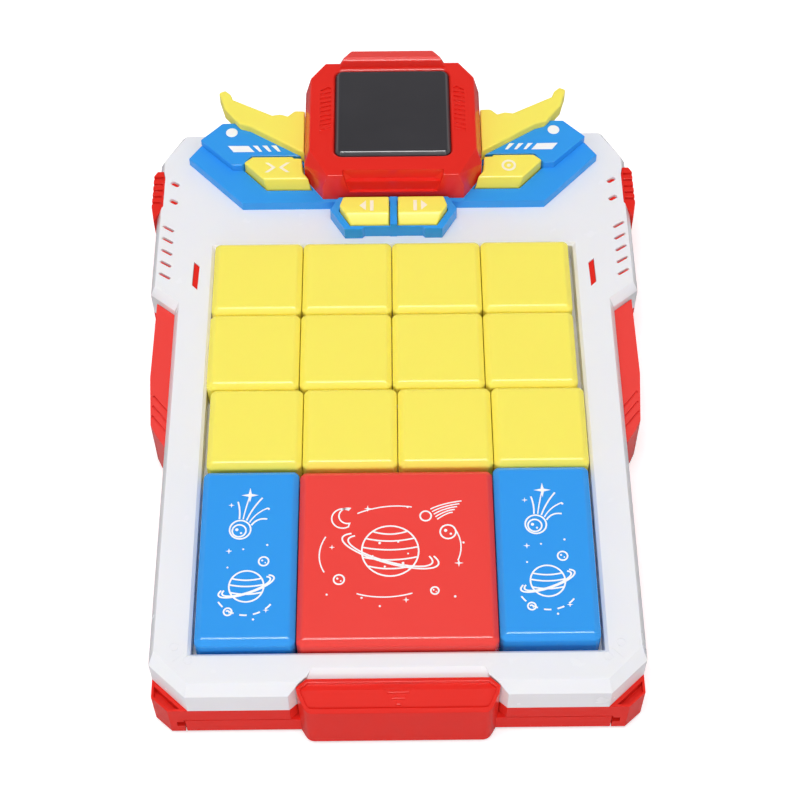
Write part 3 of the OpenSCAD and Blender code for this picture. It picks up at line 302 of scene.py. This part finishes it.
def edge_choice_group(merge, width, above, below):
    """Geometry nodes that choose the outward edges for rounding, between two heights in mm.

    An edge is left out where the faces beside it are too narrow for the rounding.
    """
    name = "edge_choice_%g_%g_%g_%g" % (merge, width / MM, above, below)
    if name in bpy.data.node_groups:
        return bpy.data.node_groups[name]
    tree, source = node_group(name)

    def math_node(operation, *values):
        """The result of a sum."""
        feeds = dict(enumerate(values))
        return add_node(tree, "ShaderNodeMath", feeds, operation=operation).outputs[0]

    def vector_node(operation, *values):
        """The result of a vector sum."""
        feeds = dict(enumerate(values))
        node = add_node(tree, "ShaderNodeVectorMath", feeds, operation=operation)
        return node.outputs["Value" if operation in ("LENGTH", "DOT_PRODUCT") else "Vector"]

    def at_index(value, index, kind, domain):
        """A value as it is at one point or edge."""
        return add_node(tree, "GeometryNodeFieldAtIndex", {"Value": value, "Index": index},
                        data_type=kind, domain=domain).outputs[0]

    if merge > 0:
        source = add_node(tree, "GeometryNodeMergeByDistance", {
            "Geometry": source.outputs[0], "Distance": merge * MM})
    bend = add_node(tree, "GeometryNodeInputMeshEdgeAngle")
    place = add_node(tree, "GeometryNodeInputPosition").outputs[0]
    height = add_node(tree, "ShaderNodeSeparateXYZ", {0: place}).outputs["Z"]
    level = math_node("MULTIPLY", math_node("GREATER_THAN", height, above * MM),
                      math_node("LESS_THAN", height, below * MM))
    outward = math_node("MULTIPLY", level, math_node(
        "GREATER_THAN", bend.outputs["Signed Angle"], EDGE_ANGLE))
    # How far each face beside the edge reaches from it. Where its next edge carries the rounding
    # straight on, there is always room, so a metre is added
    reaches = []
    for side in (0, 1):
        corner = add_node(tree, "GeometryNodeCornersOfEdge", {"Sort Index": side}).outputs["Corner Index"]
        steps = [add_node(tree, "GeometryNodeOffsetCornerInFace", {
            "Corner Index": corner, "Offset": step}).outputs["Corner Index"] for step in (-1, 0, 1, 2)]
        points = [at_index(place, add_node(tree, "GeometryNodeVertexOfCorner", {
            "Corner Index": step}).outputs["Vertex Index"], "FLOAT_VECTOR", "POINT") for step in steps]
        along = vector_node("NORMALIZE", vector_node("SUBTRACT", points[2], points[1]))
        for far, near, step, socket, turn in (
                (points[0], points[1], steps[1], "Previous Edge Index", 1.0),
                (points[3], points[2], steps[2], "Next Edge Index", -1.0)):
            leg = vector_node("SUBTRACT", far, near)
            ahead = math_node("MULTIPLY", vector_node("DOT_PRODUCT", leg, along), turn)
            onward = math_node("LESS_THAN", ahead, math_node("MULTIPLY", vector_node("LENGTH", leg), -0.5))
            edge = add_node(tree, "GeometryNodeEdgesOfCorner", {"Corner Index": step}).outputs[socket]
            chained = math_node("MULTIPLY", onward, at_index(outward, edge, "FLOAT", "EDGE"))
            reach = vector_node("LENGTH", vector_node("CROSS_PRODUCT", leg, along))
            reaches.append(math_node("ADD", reach, chained))
    room = math_node("MINIMUM", math_node("MINIMUM", *reaches[:2]), math_node("MINIMUM", *reaches[2:]))
    fit = math_node("GREATER_THAN", room, EDGE_ROOM * width)
    store = add_node(tree, "GeometryNodeStoreNamedAttribute", {
        "Geometry": source.outputs[0], "Name": "bevel_weight_edge",
        "Value": math_node("MULTIPLY", fit, outward)}, data_type="FLOAT", domain="EDGE")
    add_node(tree, "NodeGroupOutput", {0: store.outputs[0]})
    return tree


def smooth_shading_group():
    """Geometry nodes that shade faces smooth and keep the edges sharp where they stay unrounded."""
    name = "smooth_faces"
    if name in bpy.data.node_groups:
        return bpy.data.node_groups[name]
    tree, source = node_group(name)
    smooth = add_node(tree, "GeometryNodeSetShadeSmooth", {"Geometry": source.outputs[0]})
    bend = add_node(tree, "GeometryNodeInputMeshEdgeAngle")
    crisp = add_node(tree, "FunctionNodeCompare", {
        0: bend.outputs["Unsigned Angle"], 1: CRISP_ANGLE}, operation="GREATER_THAN")
    edges = add_node(tree, "GeometryNodeSetShadeSmooth", {
        "Geometry": smooth.outputs[0], "Selection": crisp.outputs[0], "Shade Smooth": False}, domain="EDGE")
    add_node(tree, "NodeGroupOutput", {0: edges.outputs[0]})
    return tree


def soften(name, width, merge=0.0, above=-1.0, below=99.0, clamp=True):
    """Rounds the outward edges of a moulded piece with modifiers; its own mesh stays as it is.

    merge joins points this near in mm. Edges are rounded between above and below, in mm over the
    piece's underside, which leaves out hidden edges whose rounding would fold faces over. clamp
    holds the rounding back where edges are short.
    """
    obj = NODES[name]
    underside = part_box(name)[0][2] / MM
    weld = obj.modifiers.new("Join faces", "WELD")
    weld.merge_threshold = WELD_REACH
    planar = obj.modifiers.new("Flat faces", "DECIMATE")
    planar.decimate_type = "DISSOLVE"
    planar.angle_limit = FLAT_ANGLE
    choice = obj.modifiers.new("Edge choice", "NODES")
    choice.node_group = edge_choice_group(
        merge, width, round(underside + above, 2), round(underside + below, 2))
    bevel = obj.modifiers.new("Edge radius", "BEVEL")
    bevel.width = width
    bevel.segments = EDGE_SEGMENTS
    bevel.limit_method = "WEIGHT"
    bevel.use_clamp_overlap = clamp
    bevel.miter_outer = "MITER_ARC"
    shading = obj.modifiers.new("Smooth", "NODES")
    shading.node_group = smooth_shading_group()
    normals = obj.modifiers.new("Face normals", "WEIGHTED_NORMAL")
    normals.weight = 100
    normals.keep_sharp = True


# ---- prints ----


def arc(centre, radius, start=0.0, sweep=360.0, steps=40, flat=1.0, tilt=0.0):
    """Points in mm along part of an ellipse, its height scaled by flat, turned by tilt degrees."""
    turn = math.radians(tilt)
    points = []
    for i in range(steps + (abs(sweep) < 360.0)):
        a = math.radians(start + sweep * i / steps)
        x, y = radius * math.cos(a), radius * flat * math.sin(a)
        points.append((centre[0] + x * math.cos(turn) - y * math.sin(turn),
                       centre[1] + x * math.sin(turn) + y * math.cos(turn)))
    return points


def star(centre, radius, waist):
    """Outline in mm of a star with four sharp tips; waist is the share of the radius between them."""
    points = []
    for i in range(8):
        turn = math.radians(90.0 + 45.0 * i)
        reach = radius if i % 2 == 0 else radius * waist
        points.append((centre[0] + reach * math.cos(turn), centre[1] + reach * math.sin(turn)))
    return points


def curve(start, bend, end):
    """Points in mm along a curve that leans towards its bend point."""
    return [tuple((1 - t) ** 2 * a + 2 * t * (1 - t) * b + t * t * c for a, b, c in zip(start, bend, end))
            for t in (i / CURVE_STEPS for i in range(CURVE_STEPS + 1))]


def filled(points):
    """A closed shape of ink."""
    return ("filled", points, 0.0)


def line(points, width=None, closed=False):
    """A drawn line of ink."""
    return ("closed" if closed else "open", points, width or sizes().line_width / MM)


def ring_of(points, width=None):
    """A drawn line of ink that runs back to its start."""
    return line(points, width, closed=True)


def mirrored(shapes):
    """The same shapes mirrored left to right."""
    return [(kind, [(-x, y) for x, y in reversed(points)], width) for kind, points, width in shapes]


def band_sides(points, width, closed):
    """The two sides of a line of even width, mitred at its corners."""
    sides = ([], [])
    count = len(points)
    for i, (x, y) in enumerate(points):
        before = points[i - 1] if closed or i > 0 else None
        after = points[(i + 1) % count] if closed or i < count - 1 else None
        ways = [Vector((b[0] - a[0], b[1] - a[1])).normalized()
                for a, b in ((before, (x, y)), ((x, y), after)) if a is not None and b is not None]
        along = (ways[0] + ways[-1]).normalized() if len(ways) > 1 else ways[0]
        reach = width / 2.0 / max(0.5, along.dot(ways[0]))
        for side, sign in zip(sides, (1.0, -1.0)):
            side.append((x - along.y * reach * sign, y + along.x * reach * sign))
    return sides


def print_piece(name, shapes, node, body, mat):
    """Lays shapes of ink on top of a node as thin closed solids that ride on a body.

    They are drawn in mm about the middle of the node's box.
    """
    bm = bmesh.new()
    thick = sizes().print_thickness
    (left_x, front_y, _), (right_x, rear_y, top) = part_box(node)
    middle = ((left_x + right_x) / 2.0, (front_y + rear_y) / 2.0)

    def level(points, z):
        """Points at one height."""
        return [bm.verts.new((middle[0] + x * MM, middle[1] + y * MM, z)) for x, y in points]

    def walls(low, high, closed):
        """Faces between two rows of points."""
        for i in range(len(low) if closed else len(low) - 1):
            j = (i + 1) % len(low)
            bm.faces.new((low[i], low[j], high[j], high[i]))

    for index, (kind, points, width) in enumerate(shapes):
        z0, z1 = top - thick, top + thick + index * SHAPE_LIFT
        if kind == "filled":
            low, high = level(points, z0), level(points, z1)
            bm.faces.new(low[::-1])
            bm.faces.new(high)
            walls(low, high, True)
            continue
        left, right = band_sides(points, width, kind == "closed")
        corners = [level(side, z) for side, z in ((right, z0), (right, z1), (left, z1), (left, z0))]
        for a, b in zip(corners, corners[1:] + corners[:1]):
            walls(b, a, kind == "closed")
        if kind == "open":
            bm.faces.new([side[0] for side in corners][::-1])
            bm.faces.new([side[-1] for side in corners])
    bmesh.ops.recalc_face_normals(bm, faces=bm.faces)
    mesh = bpy.data.meshes.new(name)
    bm.to_mesh(mesh)
    bm.free()
    mesh.materials.append(mat)
    obj = bpy.data.objects.new(name, mesh)
    bpy.context.scene.collection.objects.link(obj)
    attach(obj, body)


def planet(centre, radius, tilt, reach, bands=(-0.4, 0.1, 0.5)):
    """A banded planet with a tilted ring that passes behind it; reach is the ring's size in radii."""
    shapes = [ring_of(arc(centre, radius))]
    for share in bands:
        half = radius * math.sqrt(1 - share * share) - 0.2
        y = centre[1] + radius * share
        shapes.append(line(curve((centre[0] - half, y), (centre[0], y - radius * 0.22),
                                 (centre[0] + half, y))))
    shapes += [line(arc(centre, radius * reach, 152.0, 236.0, 44, 0.28, tilt)),
               line(arc(centre, radius * (reach + 0.22), 149.0, 242.0, 44, 0.28, tilt))]
    return shapes


def moon(centre, radius):
    """A small moon with two craters."""
    return [ring_of(arc(centre, radius, steps=20)),
            filled(arc((centre[0] - radius * 0.3, centre[1] + radius * 0.2), radius * 0.22, steps=10)),
            filled(arc((centre[0] + radius * 0.35, centre[1] - radius * 0.3), radius * 0.16, steps=10))]


def sprinkle(places):
    """Small stars and dots."""
    return [filled(star((x, y), size, 0.28)) if size > 0.5 else filled(arc((x, y), size, steps=10))
            for x, y, size in places]


def long_block_print():
    """Line drawing for a long block: a comet over a ringed planet and its moons."""
    shapes = [filled(star((0.0, 20.5), 2.6, 0.26)), ring_of(arc((-2.6, 8.4), 3.2)),
              ring_of(arc((-2.9, 8.0), 2.1, steps=24)), filled(arc((-3.6, 8.4), 0.5, steps=10)),
              filled(arc((-2.3, 7.2), 0.35, steps=10))]
    for i, (angle, length, bend) in enumerate(((96, 9.6, -0.6), (78, 11.5, 0.2), (60, 12.6, 0.8),
                                               (42, 11.0, 1.4), (24, 8.6, 1.8))):
        way = Vector((math.cos(math.radians(angle)), math.sin(math.radians(angle))))
        side = Vector((-way.y, way.x))
        start = Vector((-2.6, 8.4)) + way * 3.7
        end = start + way * (length - 3.4)
        middle = (start + end) / 2.0 + side * bend
        shapes.append(line(curve(tuple(start), tuple(middle), tuple(end)), 0.4 if i % 2 else 0.5))
    shapes += planet((0.0, -11.0), 5.2, 20.0, 1.45)
    shapes += moon((4.9, -2.6), 1.5) + moon((-5.2, -19.4), 1.2)
    shapes += [line(arc((0.0, -11.0), 9.6, start, 13.0, 5)) for start in range(212, 330, 24)]
    return shapes + sprinkle(((-5.6, 17.0, 0.9), (5.8, 3.0, 0.35), (-5.7, 1.0, 1.0), (-5.9, -4.6, 0.3),
                              (6.1, -19.0, 0.9), (2.4, -22.0, 0.35), (5.9, 15.6, 0.35), (-1.4, 1.6, 0.3)))


def square_block_print():
    """Line drawing for the square block: a large ringed planet, orbits, moons, a crescent and a comet."""
    centre = (-2.0, 1.0)
    shapes = planet(centre, 8.6, -18.0, 1.55, (-0.6, -0.25, 0.15, 0.5, 0.78))
    shapes += [line(arc(centre, 21.5, start, 46.0, 16, 0.72, 8.0), 0.4)
               for start in (-24.0, 66.0, 150.0, 236.0)]
    shapes += moon((15.6, 7.4), 2.4) + moon((-17.4, -8.6), 1.6) + moon((11.2, -12.6), 1.2)
    shapes += [ring_of(arc((-16.4, 12.4), 3.4, 60.0, 240.0, 20)
                       + arc((-14.9, 13.3), 2.7, 282.0, -206.0, 18), 0.45)]
    for i in range(5):
        shapes.append(line(curve((10.4 + i * 0.5, 15.4 - i * 0.9), (14.0 + i * 0.4, 17.4 - i * 0.8),
                                 (20.0 - i * 0.7, 18.2 - i * 1.0)), 0.4))
    shapes.append(ring_of(arc((8.9, 13.0), 1.7, steps=20)))
    for i in range(6):
        spot = (centre[0] + 5.4 * math.cos(i * 1.1), centre[1] - 1.0 + 4.6 * math.sin(i * 1.1))
        shapes.append(filled(arc(spot, 0.28 + 0.07 * (i % 3), steps=10)))
    return shapes + sprinkle(((18.6, -3.4, 1.3), (-19.6, 2.4, 0.9), (-8.8, 15.8, 1.1), (2.6, -15.6, 1.0),
                              (-10.6, -14.8, 0.35), (20.2, 3.6, 0.35), (3.4, 16.2, 0.35),
                              (-21.0, -13.6, 0.35), (17.2, -14.6, 0.4), (-5.2, -17.6, 0.35)))


# ---- operators ----


class PUZZLE_OT_case_shells(bpy.types.Operator):
    """Finishes the white top shell, the red base shell, the grips and the ribbed trims"""

    bl_idname = "puzzle.case_shells"
    bl_label = "Case shells"

    def execute(self, context):
        white = moulded_abs("white_abs_moulded", colours().white, 0.26)
        red = moulded_abs("red_abs_moulded", colours().red, 0.2)
        light_red = moulded_abs("light_red_abs_moulded", colours().block_red, 0.2)
        dress(["top_shell"], white)
        dress(["base_shell", "ribbed_trim_left", "ribbed_trim_right",
               "slot_backing_left", "slot_backing_right"], red)
        dress(["side_grip_left", "side_grip_right"], light_red)
        soften("top_shell", sizes().shell_edge, above=11.0)
        soften("base_shell", sizes().shell_edge)
        for name in ("side_grip_left", "side_grip_right"):
            soften(name, sizes().shell_edge, below=20.8)
        for name in ("ribbed_trim_left", "ribbed_trim_right"):
            soften(name, sizes().shell_edge * 0.5, clamp=False)
        return {"FINISHED"}


class PUZZLE_OT_wings(bpy.types.Operator):
    """Finishes the wing deck, the wing caps with their marks, and the horns"""

    bl_idname = "puzzle.wings"
    bl_label = "Wings"

    def execute(self, context):
        blue = moulded_abs("blue_abs_moulded", colours().blue, 0.2)
        yellow = moulded_abs("yellow_abs_moulded", colours().yellow, 0.22, depth_mm=0.6)
        dress(["wing_deck", "wing_cap_left", "wing_cap_right"], blue)
        dress(["wing_horn_left", "wing_horn_right"], yellow)
        soften("wing_deck", sizes().trim_edge * 0.7, above=2.5, below=4.5, clamp=False)
        for name in ("wing_cap_left", "wing_cap_right"):
            soften(name, sizes().trim_edge)
        for name in ("wing_horn_left", "wing_horn_right"):
            soften(name, sizes().trim_edge, above=0.5, clamp=False)
        self.cap_marks()
        return {"FINISHED"}

    def cap_marks(self):
        """White dots and bars on the wing caps."""
        ink = pad_print("white_ink", colours().ink)
        bars = [[(8.55, -0.85), (1.35, -0.95), (-0.85, -3.75), (6.45, -3.75)]]
        bars += [[(x, -0.85), (x - 1.7, -0.85), (x - 3.4, -3.65), (x - 2.4, -3.65)]
                 for x in (-0.15, -3.45, -6.65)]
        right = [filled(arc((7.45, 5.35), 2.05, steps=28))] + [filled(bar) for bar in bars]
        for side, shapes in (("right", right), ("left", mirrored(right))):
            print_piece("wing_cap_marks_" + side, shapes, "wing_cap_" + side, "case", ink)


class PUZZLE_OT_display_head(bpy.types.Operator):
    """Finishes the red display head, its smoked window and what lies behind it"""

    bl_idname = "puzzle.display_head"
    bl_label = "Display head"

    def execute(self, context):
        dress(["head_shell"], bpy.data.materials["red_abs_moulded"])
        dress(["screen_window"], smoked_acrylic())
        # Dull black foam
        dress(["screen_gasket"], plain_finish("black_foam", srgb("#1C1C1E"), 0.85))
        # Glossy dark glass
        dress(["display_module"], plain_finish("display_glass", srgb("#3A3B40"), 0.2, grain_mm=4.0))
        soften("head_shell", sizes().trim_edge * 0.6, above=5.9, clamp=False)
        soften("screen_window", sizes().trim_edge * 0.4, clamp=False)
        return {"FINISHED"}


class PUZZLE_OT_buttons(bpy.types.Operator):
    """Finishes the four yellow buttons with their symbols, and their silicone domes"""

    bl_idname = "puzzle.buttons"
    bl_label = "Buttons"

    def execute(self, context):
        keys = ["versus_button", "hint_button", "previous_button", "next_button"]
        domes = ["versus_dome", "hint_dome", "previous_dome", "next_dome"]
        dress(keys, bpy.data.materials["yellow_abs_moulded"])
        # Milky satin rubber
        dress(domes, plain_finish("silicone_rubber", srgb("#D9D9D2"), 0.5))
        for name in keys:
            soften(name, sizes().key_edge, clamp=False)
        self.key_marks()
        return {"FINISHED"}

    def key_marks(self):
        """Cream symbols on the buttons: facing chevrons, a ring with a dot, and step arrows."""
        ink = pad_print("cream_ink", colours().key_ink)
        chevron = [filled([(-3.05, 2.5), (-0.55, 0.3), (-3.05, -1.9), (-4.35, -1.9), (-1.85, 0.3),
                           (-4.35, 2.5)])]
        step = [filled([(-2.0, 2.8), (-3.2, 2.8), (-3.2, -1.7), (-2.0, -1.7)]),
                filled([(-0.6, -1.5), (1.6, 0.6), (-0.6, 2.8)])]
        target = [ring_of(arc((0.0, 0.3), 2.1), 0.8), filled(arc((0.0, 0.3), 0.7, steps=16))]
        marks = (("versus_button", chevron + mirrored(chevron)), ("next_button", step),
                 ("previous_button", mirrored(step)), ("hint_button", target))
        for node, shapes in marks:
            print_piece(node + "_mark", shapes, node, node, ink)


class PUZZLE_OT_blocks(bpy.types.Operator):
    """Finishes the sliding blocks and prints the large ones"""

    bl_idname = "puzzle.blocks"
    bl_label = "Sliding blocks"

    def execute(self, context):
        dress(SINGLE_BLOCKS, bpy.data.materials["yellow_abs_moulded"])
        dress(LONG_BLOCKS, bpy.data.materials["blue_abs_moulded"])
        dress(["square_block"], bpy.data.materials["light_red_abs_moulded"])
        for name in SINGLE_BLOCKS + LONG_BLOCKS + ["square_block"]:
            soften(name, sizes().block_edge, merge=0.4, clamp=False)
        ink = bpy.data.materials["white_ink"]
        for name in LONG_BLOCKS:
            print_piece(name + "_print", long_block_print(), name, name, ink)
        print_piece("square_block_print", square_block_print(), "square_block", "square_block", ink)
        return {"FINISHED"}


class PUZZLE_OT_drawer(bpy.types.Operator):
    """Finishes the storage drawer and its front"""

    bl_idname = "puzzle.drawer"
    bl_label = "Drawer"

    def execute(self, context):
        dress(["storage_drawer", "drawer_front"], bpy.data.materials["red_abs_moulded"])
        soften("drawer_front", sizes().shell_edge * 0.7)
        soften("storage_drawer", sizes().shell_edge * 0.7, above=8.7)
        return {"FINISHED"}


class PUZZLE_OT_electronics(bpy.types.Operator):
    """Finishes the boards, speaker, switch, batteries, leads, screws and feet"""

    bl_idname = "puzzle.electronics"
    bl_label = "Electronics and fasteners"

    def execute(self, context):
        # Satin green lacquer
        dress(["main_board", "display_board"], plain_finish("solder_mask", srgb("#1F6B3A"), 0.35))
        # Glossy amber film
        dress(["display_ribbon"], plain_finish("polyimide_film", srgb("#C9A24B"), 0.3))
        # Dull dark paper
        dress(["speaker"], plain_finish("speaker_cone", srgb("#2A2A2C"), 0.7))
        # Satin black plastic
        dress(["switch_slider"], plain_finish("black_moulded_abs", srgb("#1C1C1E"), 0.45))
        # Bright grey metal with a fine spangle
        steel = plain_finish("zinc_plated_steel", srgb("#9A9CA0"), 0.32, metal=1.0, grain_mm=0.4)
        dress(["power_switch", "battery_contacts", "case_screws", "board_screws", "head_screws",
               "cover_screw"], steel)
        # Plain glossy green sleeve
        dress(["battery_cells"], plain_finish("cell_jacket", srgb("#3F6E4A"), 0.3, grain_mm=3.0))
        # Satin red insulation
        dress(["battery_leads"], plain_finish("wire_jacket", srgb("#C22A22"), 0.5))
        dress(["battery_cover"], bpy.data.materials["red_abs_moulded"])
        # Dull dark rubber
        dress(["rubber_feet"], plain_finish("foot_rubber", srgb("#2E2E30"), 0.8))
        soften("battery_cover", sizes().shell_edge * 0.6)
        return {"FINISHED"}


class PUZZLE_OT_stage(bpy.types.Operator):
    """Lays the pale floor and sets the lamps, the world and the camera"""

    bl_idname = "puzzle.stage"
    bl_label = "Stage"

    def execute(self, context):
        self.floor()
        self.world(context.scene)
        self.lamps()
        self.camera(context.scene)
        return {"FINISHED"}

    def floor(self):
        """A plain floor that reads white where it is unshadowed and keeps a soft shadow."""
        mesh = bpy.data.meshes.new("floor")
        bm = bmesh.new()
        bmesh.ops.create_grid(bm, x_segments=2, y_segments=2, size=FLOOR_HALF)
        bm.to_mesh(mesh)
        bm.free()
        floor = bpy.data.objects.new("floor", mesh)
        floor.location.z = -FLOOR_DROP
        bpy.context.scene.collection.objects.link(floor)
        mat, tree = new_material("pale_paper_sweep")
        path = add_node(tree, "ShaderNodeLightPath")
        seen = add_node(tree, "ShaderNodeMath", {
            0: path.outputs["Is Camera Ray"], 1: path.outputs["Is Transmission Ray"]}, operation="MAXIMUM")
        tone = add_node(tree, "ShaderNodeMix", {
            "Factor": path.outputs["Is Glossy Ray"], "A": srgb("#E9E9EB") + [1.0],
            "B": srgb("#9A9A9C") + [1.0]}, data_type="RGBA")
        paper = add_node(tree, "ShaderNodeBsdfDiffuse", {"Color": tone.outputs["Result"]})
        lift = add_node(tree, "ShaderNodeEmission", {"Color": WHITE, "Strength": FLOOR_LIFT})
        dark = add_node(tree, "ShaderNodeEmission", {"Strength": 0.0})
        glow = add_node(tree, "ShaderNodeMixShader", {
            0: seen.outputs[0], 1: dark.outputs[0], 2: lift.outputs[0]})
        both = add_node(tree, "ShaderNodeAddShader", {0: paper.outputs[0], 1: glow.outputs[0]})
        add_node(tree, "ShaderNodeOutputMaterial", {"Surface": both.outputs[0]})
        mesh.materials.append(mat)

    def world(self, scene):
        """A white surround where it is seen or mirrored, and a softer fill on the object."""
        world = bpy.data.worlds.new("studio")
        world.use_nodes = True
        tree = world.node_tree
        tree.nodes.clear()
        path = add_node(tree, "ShaderNodeLightPath")
        seen = add_node(tree, "ShaderNodeMath", {
            0: path.outputs["Is Camera Ray"], 1: path.outputs["Is Glossy Ray"]}, operation="MAXIMUM")
        seen = add_node(tree, "ShaderNodeMath", {
            0: seen.outputs[0], 1: path.outputs["Is Transmission Ray"]}, operation="MAXIMUM")
        # What edges mirror fades to a fifth between 25 and 50 degrees over the horizon
        way = add_node(tree, "ShaderNodeTexCoord")
        height = add_node(tree, "ShaderNodeSeparateXYZ", {"Vector": way.outputs["Generated"]})
        overhead = add_node(tree, "ShaderNodeMapRange", {
            "Value": height.outputs["Z"], "From Min": math.sin(math.radians(25.0)),
            "From Max": math.sin(math.radians(50.0)), "To Min": 1.0, "To Max": 0.2})
        reflected = add_node(tree, "ShaderNodeMix", {
            "Factor": path.outputs["Is Glossy Ray"], "A": 1.0, "B": overhead.outputs["Result"]})
        fill = add_node(tree, "ShaderNodeBackground", {
            "Color": WHITE, "Strength": scene.puzzle_stage.fill})
        white = add_node(tree, "ShaderNodeBackground", {
            "Color": WHITE, "Strength": reflected.outputs["Result"]})
        mix = add_node(tree, "ShaderNodeMixShader", {
            0: seen.outputs[0], 1: fill.outputs[0], 2: white.outputs[0]})
        add_node(tree, "ShaderNodeOutputWorld", {"Surface": mix.outputs[0]})
        scene.world = world

    def lamps(self):
        """A large soft lamp overhead, a weaker one in front, and a strip that only edges mirror."""
        power = bpy.context.scene.puzzle_stage.key_power
        # Places and sizes are in metres
        for name, place, watts, width, depth in (
                ("key_lamp", (-0.1, -0.15, 1.2), power, 0.5, 0.5),
                ("front_lamp", (-0.12, -1.15, 0.42), power * 0.36, 0.45, 0.3),
                ("strip_lamp", (0.0, -0.59, 1.02), power * 9.0, 1.2, 0.4)):
            lamp = bpy.data.lights.new(name, "AREA")
            lamp.energy = watts
            lamp.shape = "RECTANGLE"
            lamp.size = width
            lamp.size_y = depth
            obj = bpy.data.objects.new(name, lamp)
            obj.location = place
            obj.rotation_mode = "QUATERNION"
            obj.rotation_quaternion = Vector(place).to_track_quat("Z", "Y")
            obj.visible_diffuse = name != "strip_lamp"
            obj.visible_glossy = name != "front_lamp"
            bpy.context.scene.collection.objects.link(obj)

    def camera(self, scene):
        """A long lens in front of and over the console."""
        data = bpy.data.cameras.new("camera")
        data.lens = scene.puzzle_stage.lens
        data.sensor_width = SENSOR_MM
        data.dof.use_dof = False
        cam = bpy.data.objects.new("camera", data)
        scene.collection.objects.link(cam)
        cam.matrix_world = (Matrix.Translation(CAMERA_AT) @ Matrix.Rotation(-CAMERA_YAW, 4, "Z")
                            @ Matrix.Rotation(scene.puzzle_stage.pitch, 4, "X")
                            @ Matrix.Rotation(-CAMERA_ROLL, 4, "Z"))
        scene.camera = cam


class PUZZLE_PT_panel(bpy.types.Panel):
    """Lists the steps that dress the console"""

    bl_idname = "PUZZLE_PT_panel"
    bl_label = "Puzzle console"
    bl_space_type = "VIEW_3D"
    bl_region_type = "UI"
    bl_category = "Puzzle"

    def draw(self, context):
        """One button for each step."""
        for step in STEPS:
            self.layout.operator(step.bl_idname)


STEPS = (
    PUZZLE_OT_case_shells,
    PUZZLE_OT_wings,
    PUZZLE_OT_display_head,
    PUZZLE_OT_buttons,
    PUZZLE_OT_blocks,
    PUZZLE_OT_drawer,
    PUZZLE_OT_electronics,
    PUZZLE_OT_stage,
)
GROUPS = (PuzzleColours, PuzzleSizes, PuzzleStage)


def register():
    """Adds the settings, steps and panel."""
    for cls in GROUPS + STEPS + (PUZZLE_PT_panel,):
        bpy.utils.register_class(cls)
    bpy.types.Scene.puzzle_colours = PointerProperty(type=PuzzleColours)
    bpy.types.Scene.puzzle_sizes = PointerProperty(type=PuzzleSizes)
    bpy.types.Scene.puzzle_stage = PointerProperty(type=PuzzleStage)


def unregister():
    """Takes them away again."""
    for name in ("puzzle_stage", "puzzle_sizes", "puzzle_colours"):
        delattr(bpy.types.Scene, name)
    for cls in reversed(GROUPS + STEPS + (PUZZLE_PT_panel,)):
        bpy.utils.unregister_class(cls)


def main():
    """Dresses the whole console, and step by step."""
    register()
    bpy.context.scene.view_settings.view_transform = "Standard"
    bpy.ops.puzzle.case_shells()
    bpy.ops.puzzle.wings()
    bpy.ops.puzzle.display_head()
    bpy.ops.puzzle.buttons()
    bpy.ops.puzzle.blocks()
    bpy.ops.puzzle.drawer()
    bpy.ops.puzzle.electronics()
    bpy.ops.puzzle.stage()


if __name__ == "__main__":
    main()
